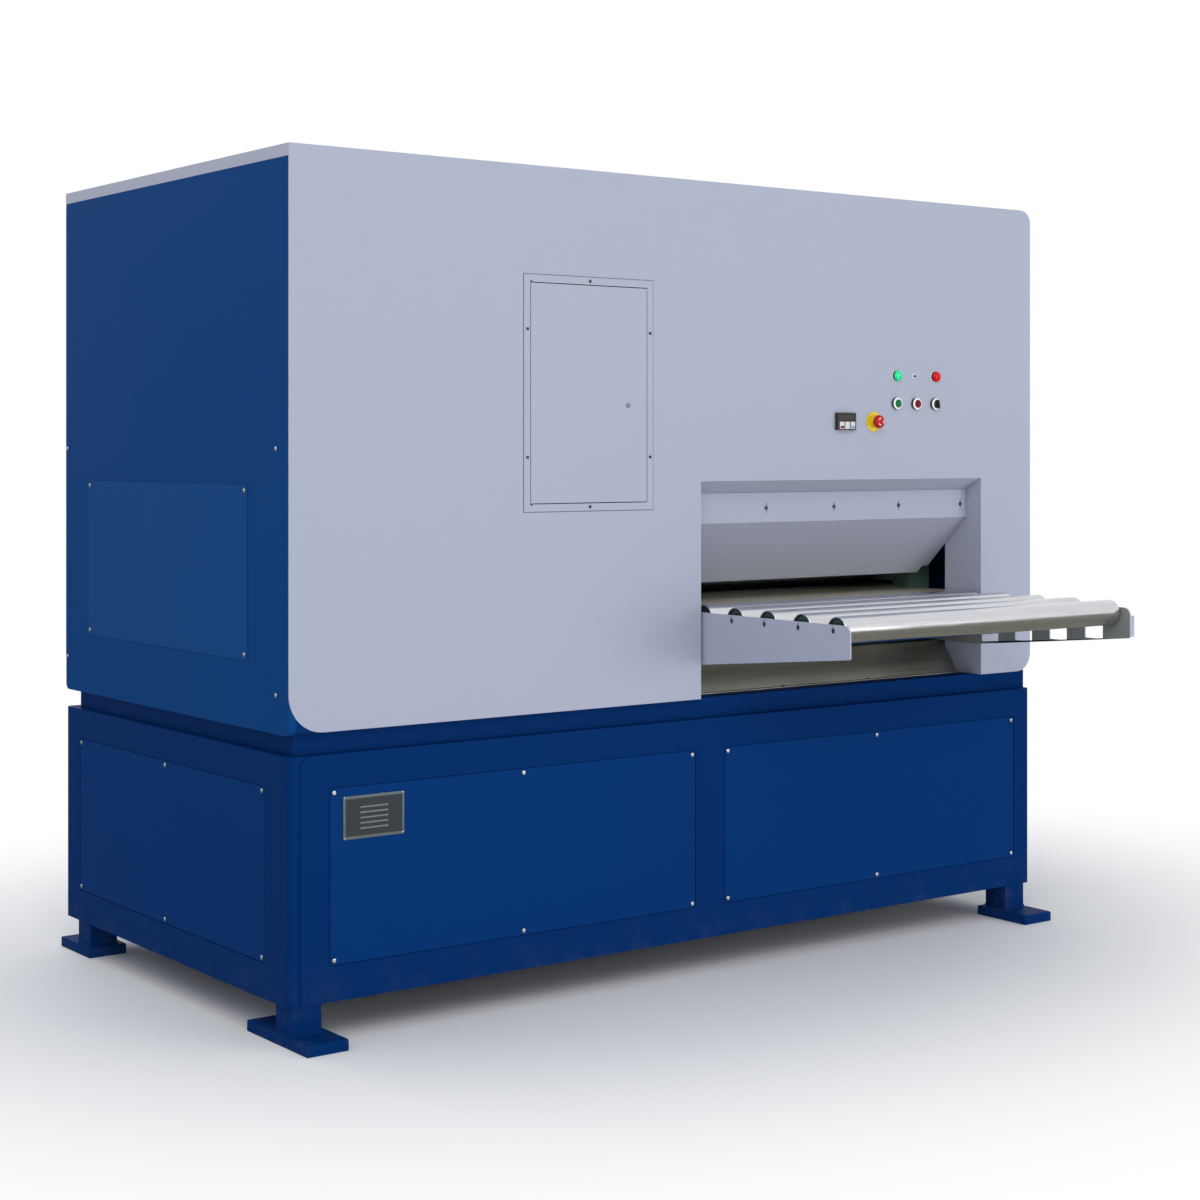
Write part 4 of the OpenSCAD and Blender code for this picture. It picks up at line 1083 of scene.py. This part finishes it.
    def nameplate(self):
        """A bare plate with a raised rim, blank fields and four rivets."""
        low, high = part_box("nameplate")
        plate = from_frame("nameplate", "nameplate_sheet", 0.0003)
        finish_piece(plate, FINISHES["plate"], ROOT, ("nameplate",))
        field = block("nameplate_field", (low.x + 0.009, low.y + 0.0006, low.z + 0.009),
                      (high.x - 0.009, low.y + 0.0014, high.z - 0.009))
        finish_piece(field, FINISHES["field"], ROOT, bevel=0.0002)
        strips = []
        for k in range(5):
            z = high.z - 0.036 - k * 0.016
            strips.append(block("strip", (low.x + 0.060, low.y + 0.0002, z - 0.0022),
                                (low.x + 0.158, low.y + 0.0010, z + 0.0022)))
        blanks = joined("nameplate_blanks", strips)
        finish_piece(blanks, FINISHES["grey"], ROOT, bevel=0.0002)
        rivets = []
        for x in (low.x + 0.0045, high.x - 0.0045):
            for z in (low.z + 0.0045, high.z - 0.0045):
                rivets.append(turned("rivet", (x, low.y + 0.0002, z), "-Y", RIVET, sides=20))
        finish_piece(joined("nameplate_rivets", rivets), FINISHES["steel"], ROOT, angle=60)


class LEVELLER_OT_stage(bpy.types.Operator):
    """Sets the floor, the lamps, the surroundings and the camera"""

    bl_idname = "leveller.stage"
    bl_label = "Stage"

    def execute(self, context):
        stage = context.scene.leveller_stage
        self.floor(stage)
        self.world(context, stage)
        self.lamp("key_lamp", (-5.5, -7.5, 6.5), (0, 0, 1.2), 5.0, stage.key_lamp)
        self.lamp("fill_lamp", (3.5, -8.5, 0.9), (0.5, 0, 1.5), 4.0, stage.fill_lamp)
        self.lamp("back_lamp", (-1.0, 6.0, 6.0), (0, 0, 1.5), 5.0, stage.fill_lamp * 0.5)
        self.camera(context, stage)
        context.scene.view_settings.view_transform = "Standard"
        return {"FINISHED"}

    def floor(self, stage):
        deselect()
        bpy.ops.mesh.primitive_plane_add(size=PLANE_SIZE, location=(0, 0, 0))
        floor = named("floor")
        f = Finish("floor")
        spot = f.place()
        colour = tuple(stage.floor_colour)
        tone = f.mix(shade(colour, 0.99), colour, f.noise(spot, 0.8))
        f.set(Base_Color=tone, Roughness=0.85, Specular_IOR_Level=0.1)
        self.fade(f)
        floor.data.materials.append(f.material)

    def fade(self, f):
        """Far from the machine the floor turns white, and polished metal mirrors dull grey."""
        spot = f.place((0.75, 0.9, 1))
        far = f.add("VectorMath", {"operation": "LENGTH"}, {0: spot}, output="Value")
        seen, through, mirrored = (
            f.add("LightPath", output=ray)
            for ray in ("Is Camera Ray", "Is Transmission Ray", "Is Glossy Ray")
        )
        colour = f.mix((1, 1, 1), srgb(132, 130, 118), mirrored)
        glow = f.add("Emission", None, {"Color": colour})
        share = (far.step(1.15, 2.9) * seen.most(through)).most(mirrored)
        plain = Wire(f, f.shader.outputs[0])
        mixed = f.add("MixShader", None, {0: share, 1: plain, 2: glow})
        f.tree.links.new(mixed.socket, f.tree.nodes["Material Output"].inputs[0])

    def world(self, context, stage):
        world = bpy.data.worlds.new("surroundings")
        context.scene.world = world
        world.use_nodes = True
        tree = world.node_tree
        ground = tree.nodes["Background"]
        ground.inputs["Color"].default_value = (0.93, 0.96, 1.0, 1)
        ground.inputs["Strength"].default_value = stage.sky
        white = tree.nodes.new("ShaderNodeBackground")
        white.inputs["Color"].default_value = (1, 1, 1, 1)
        white.inputs["Strength"].default_value = 1.0
        path = tree.nodes.new("ShaderNodeLightPath")
        seen = path.outputs["Is Camera Ray"]
        for ray in ("Is Glossy Ray", "Is Transmission Ray"):
            either = tree.nodes.new("ShaderNodeMath")
            either.operation = "MAXIMUM"
            tree.links.new(seen, either.inputs[0])
            tree.links.new(path.outputs[ray], either.inputs[1])
            seen = either.outputs[0]
        mix = tree.nodes.new("ShaderNodeMixShader")
        tree.links.new(seen, mix.inputs[0])
        tree.links.new(ground.outputs[0], mix.inputs[1])
        tree.links.new(white.outputs[0], mix.inputs[2])
        tree.links.new(mix.outputs[0], tree.nodes["World Output"].inputs[0])

    def lamp(self, name, place, target, size, power):
        deselect()
        bpy.ops.object.light_add(type="AREA", location=place)
        lamp = bpy.context.active_object
        lamp.name = name
        lamp.data.size = size
        lamp.data.energy = power
        lamp.rotation_euler = (Vector(target) - Vector(place)).to_track_quat("-Z", "Y").to_euler()

    def camera(self, context, stage):
        deselect()
        bpy.ops.object.camera_add(location=stage.eye, rotation=(math.pi / 2, 0, stage.turn))
        camera = bpy.context.active_object
        camera.data.sensor_width = 36
        camera.data.lens = stage.lens
        camera.data.shift_y = stage.shift
        camera.data.clip_end = 200
        context.scene.camera = camera


PIECES = (
    LEVELLER_OT_finishes,
    LEVELLER_OT_base,
    LEVELLER_OT_covers,
    LEVELLER_OT_tables,
    LEVELLER_OT_machinery,
    LEVELLER_OT_electrics,
    LEVELLER_OT_controls,
    LEVELLER_OT_stage,
)
GROUPS = {
    "leveller_base": LevellerBase,
    "leveller_covers": LevellerCovers,
    "leveller_tables": LevellerTables,
    "leveller_controls": LevellerControls,
    "leveller_stage": LevellerStage,
}


class LEVELLER_PT_panel(bpy.types.Panel):
    """Lists the leveller's pieces and sizes"""

    bl_label = "Leveller"
    bl_idname = "LEVELLER_PT_panel"
    bl_space_type = "VIEW_3D"
    bl_region_type = "UI"
    bl_category = "Leveller"

    def draw(self, context):
        for group in GROUPS:
            box = self.layout.box()
            settings = getattr(context.scene, group)
            for key in settings.__annotations__:
                box.prop(settings, key)
        for piece in PIECES:
            self.layout.operator(piece.bl_idname)


def register():
    for name, group in GROUPS.items():
        bpy.utils.register_class(group)
        setattr(bpy.types.Scene, name, PointerProperty(type=group))
    for item in (*PIECES, LEVELLER_PT_panel):
        bpy.utils.register_class(item)


def unregister():
    for item in reversed((*PIECES, LEVELLER_PT_panel)):
        bpy.utils.unregister_class(item)
    for name, group in GROUPS.items():
        delattr(bpy.types.Scene, name)
        bpy.utils.unregister_class(group)


def main():
    """Registers the add-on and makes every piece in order."""
    register()
    for piece in PIECES:
        family, word = piece.bl_idname.split(".")
        getattr(getattr(bpy.ops, family), word)()


if __name__ == "__main__":
    main()
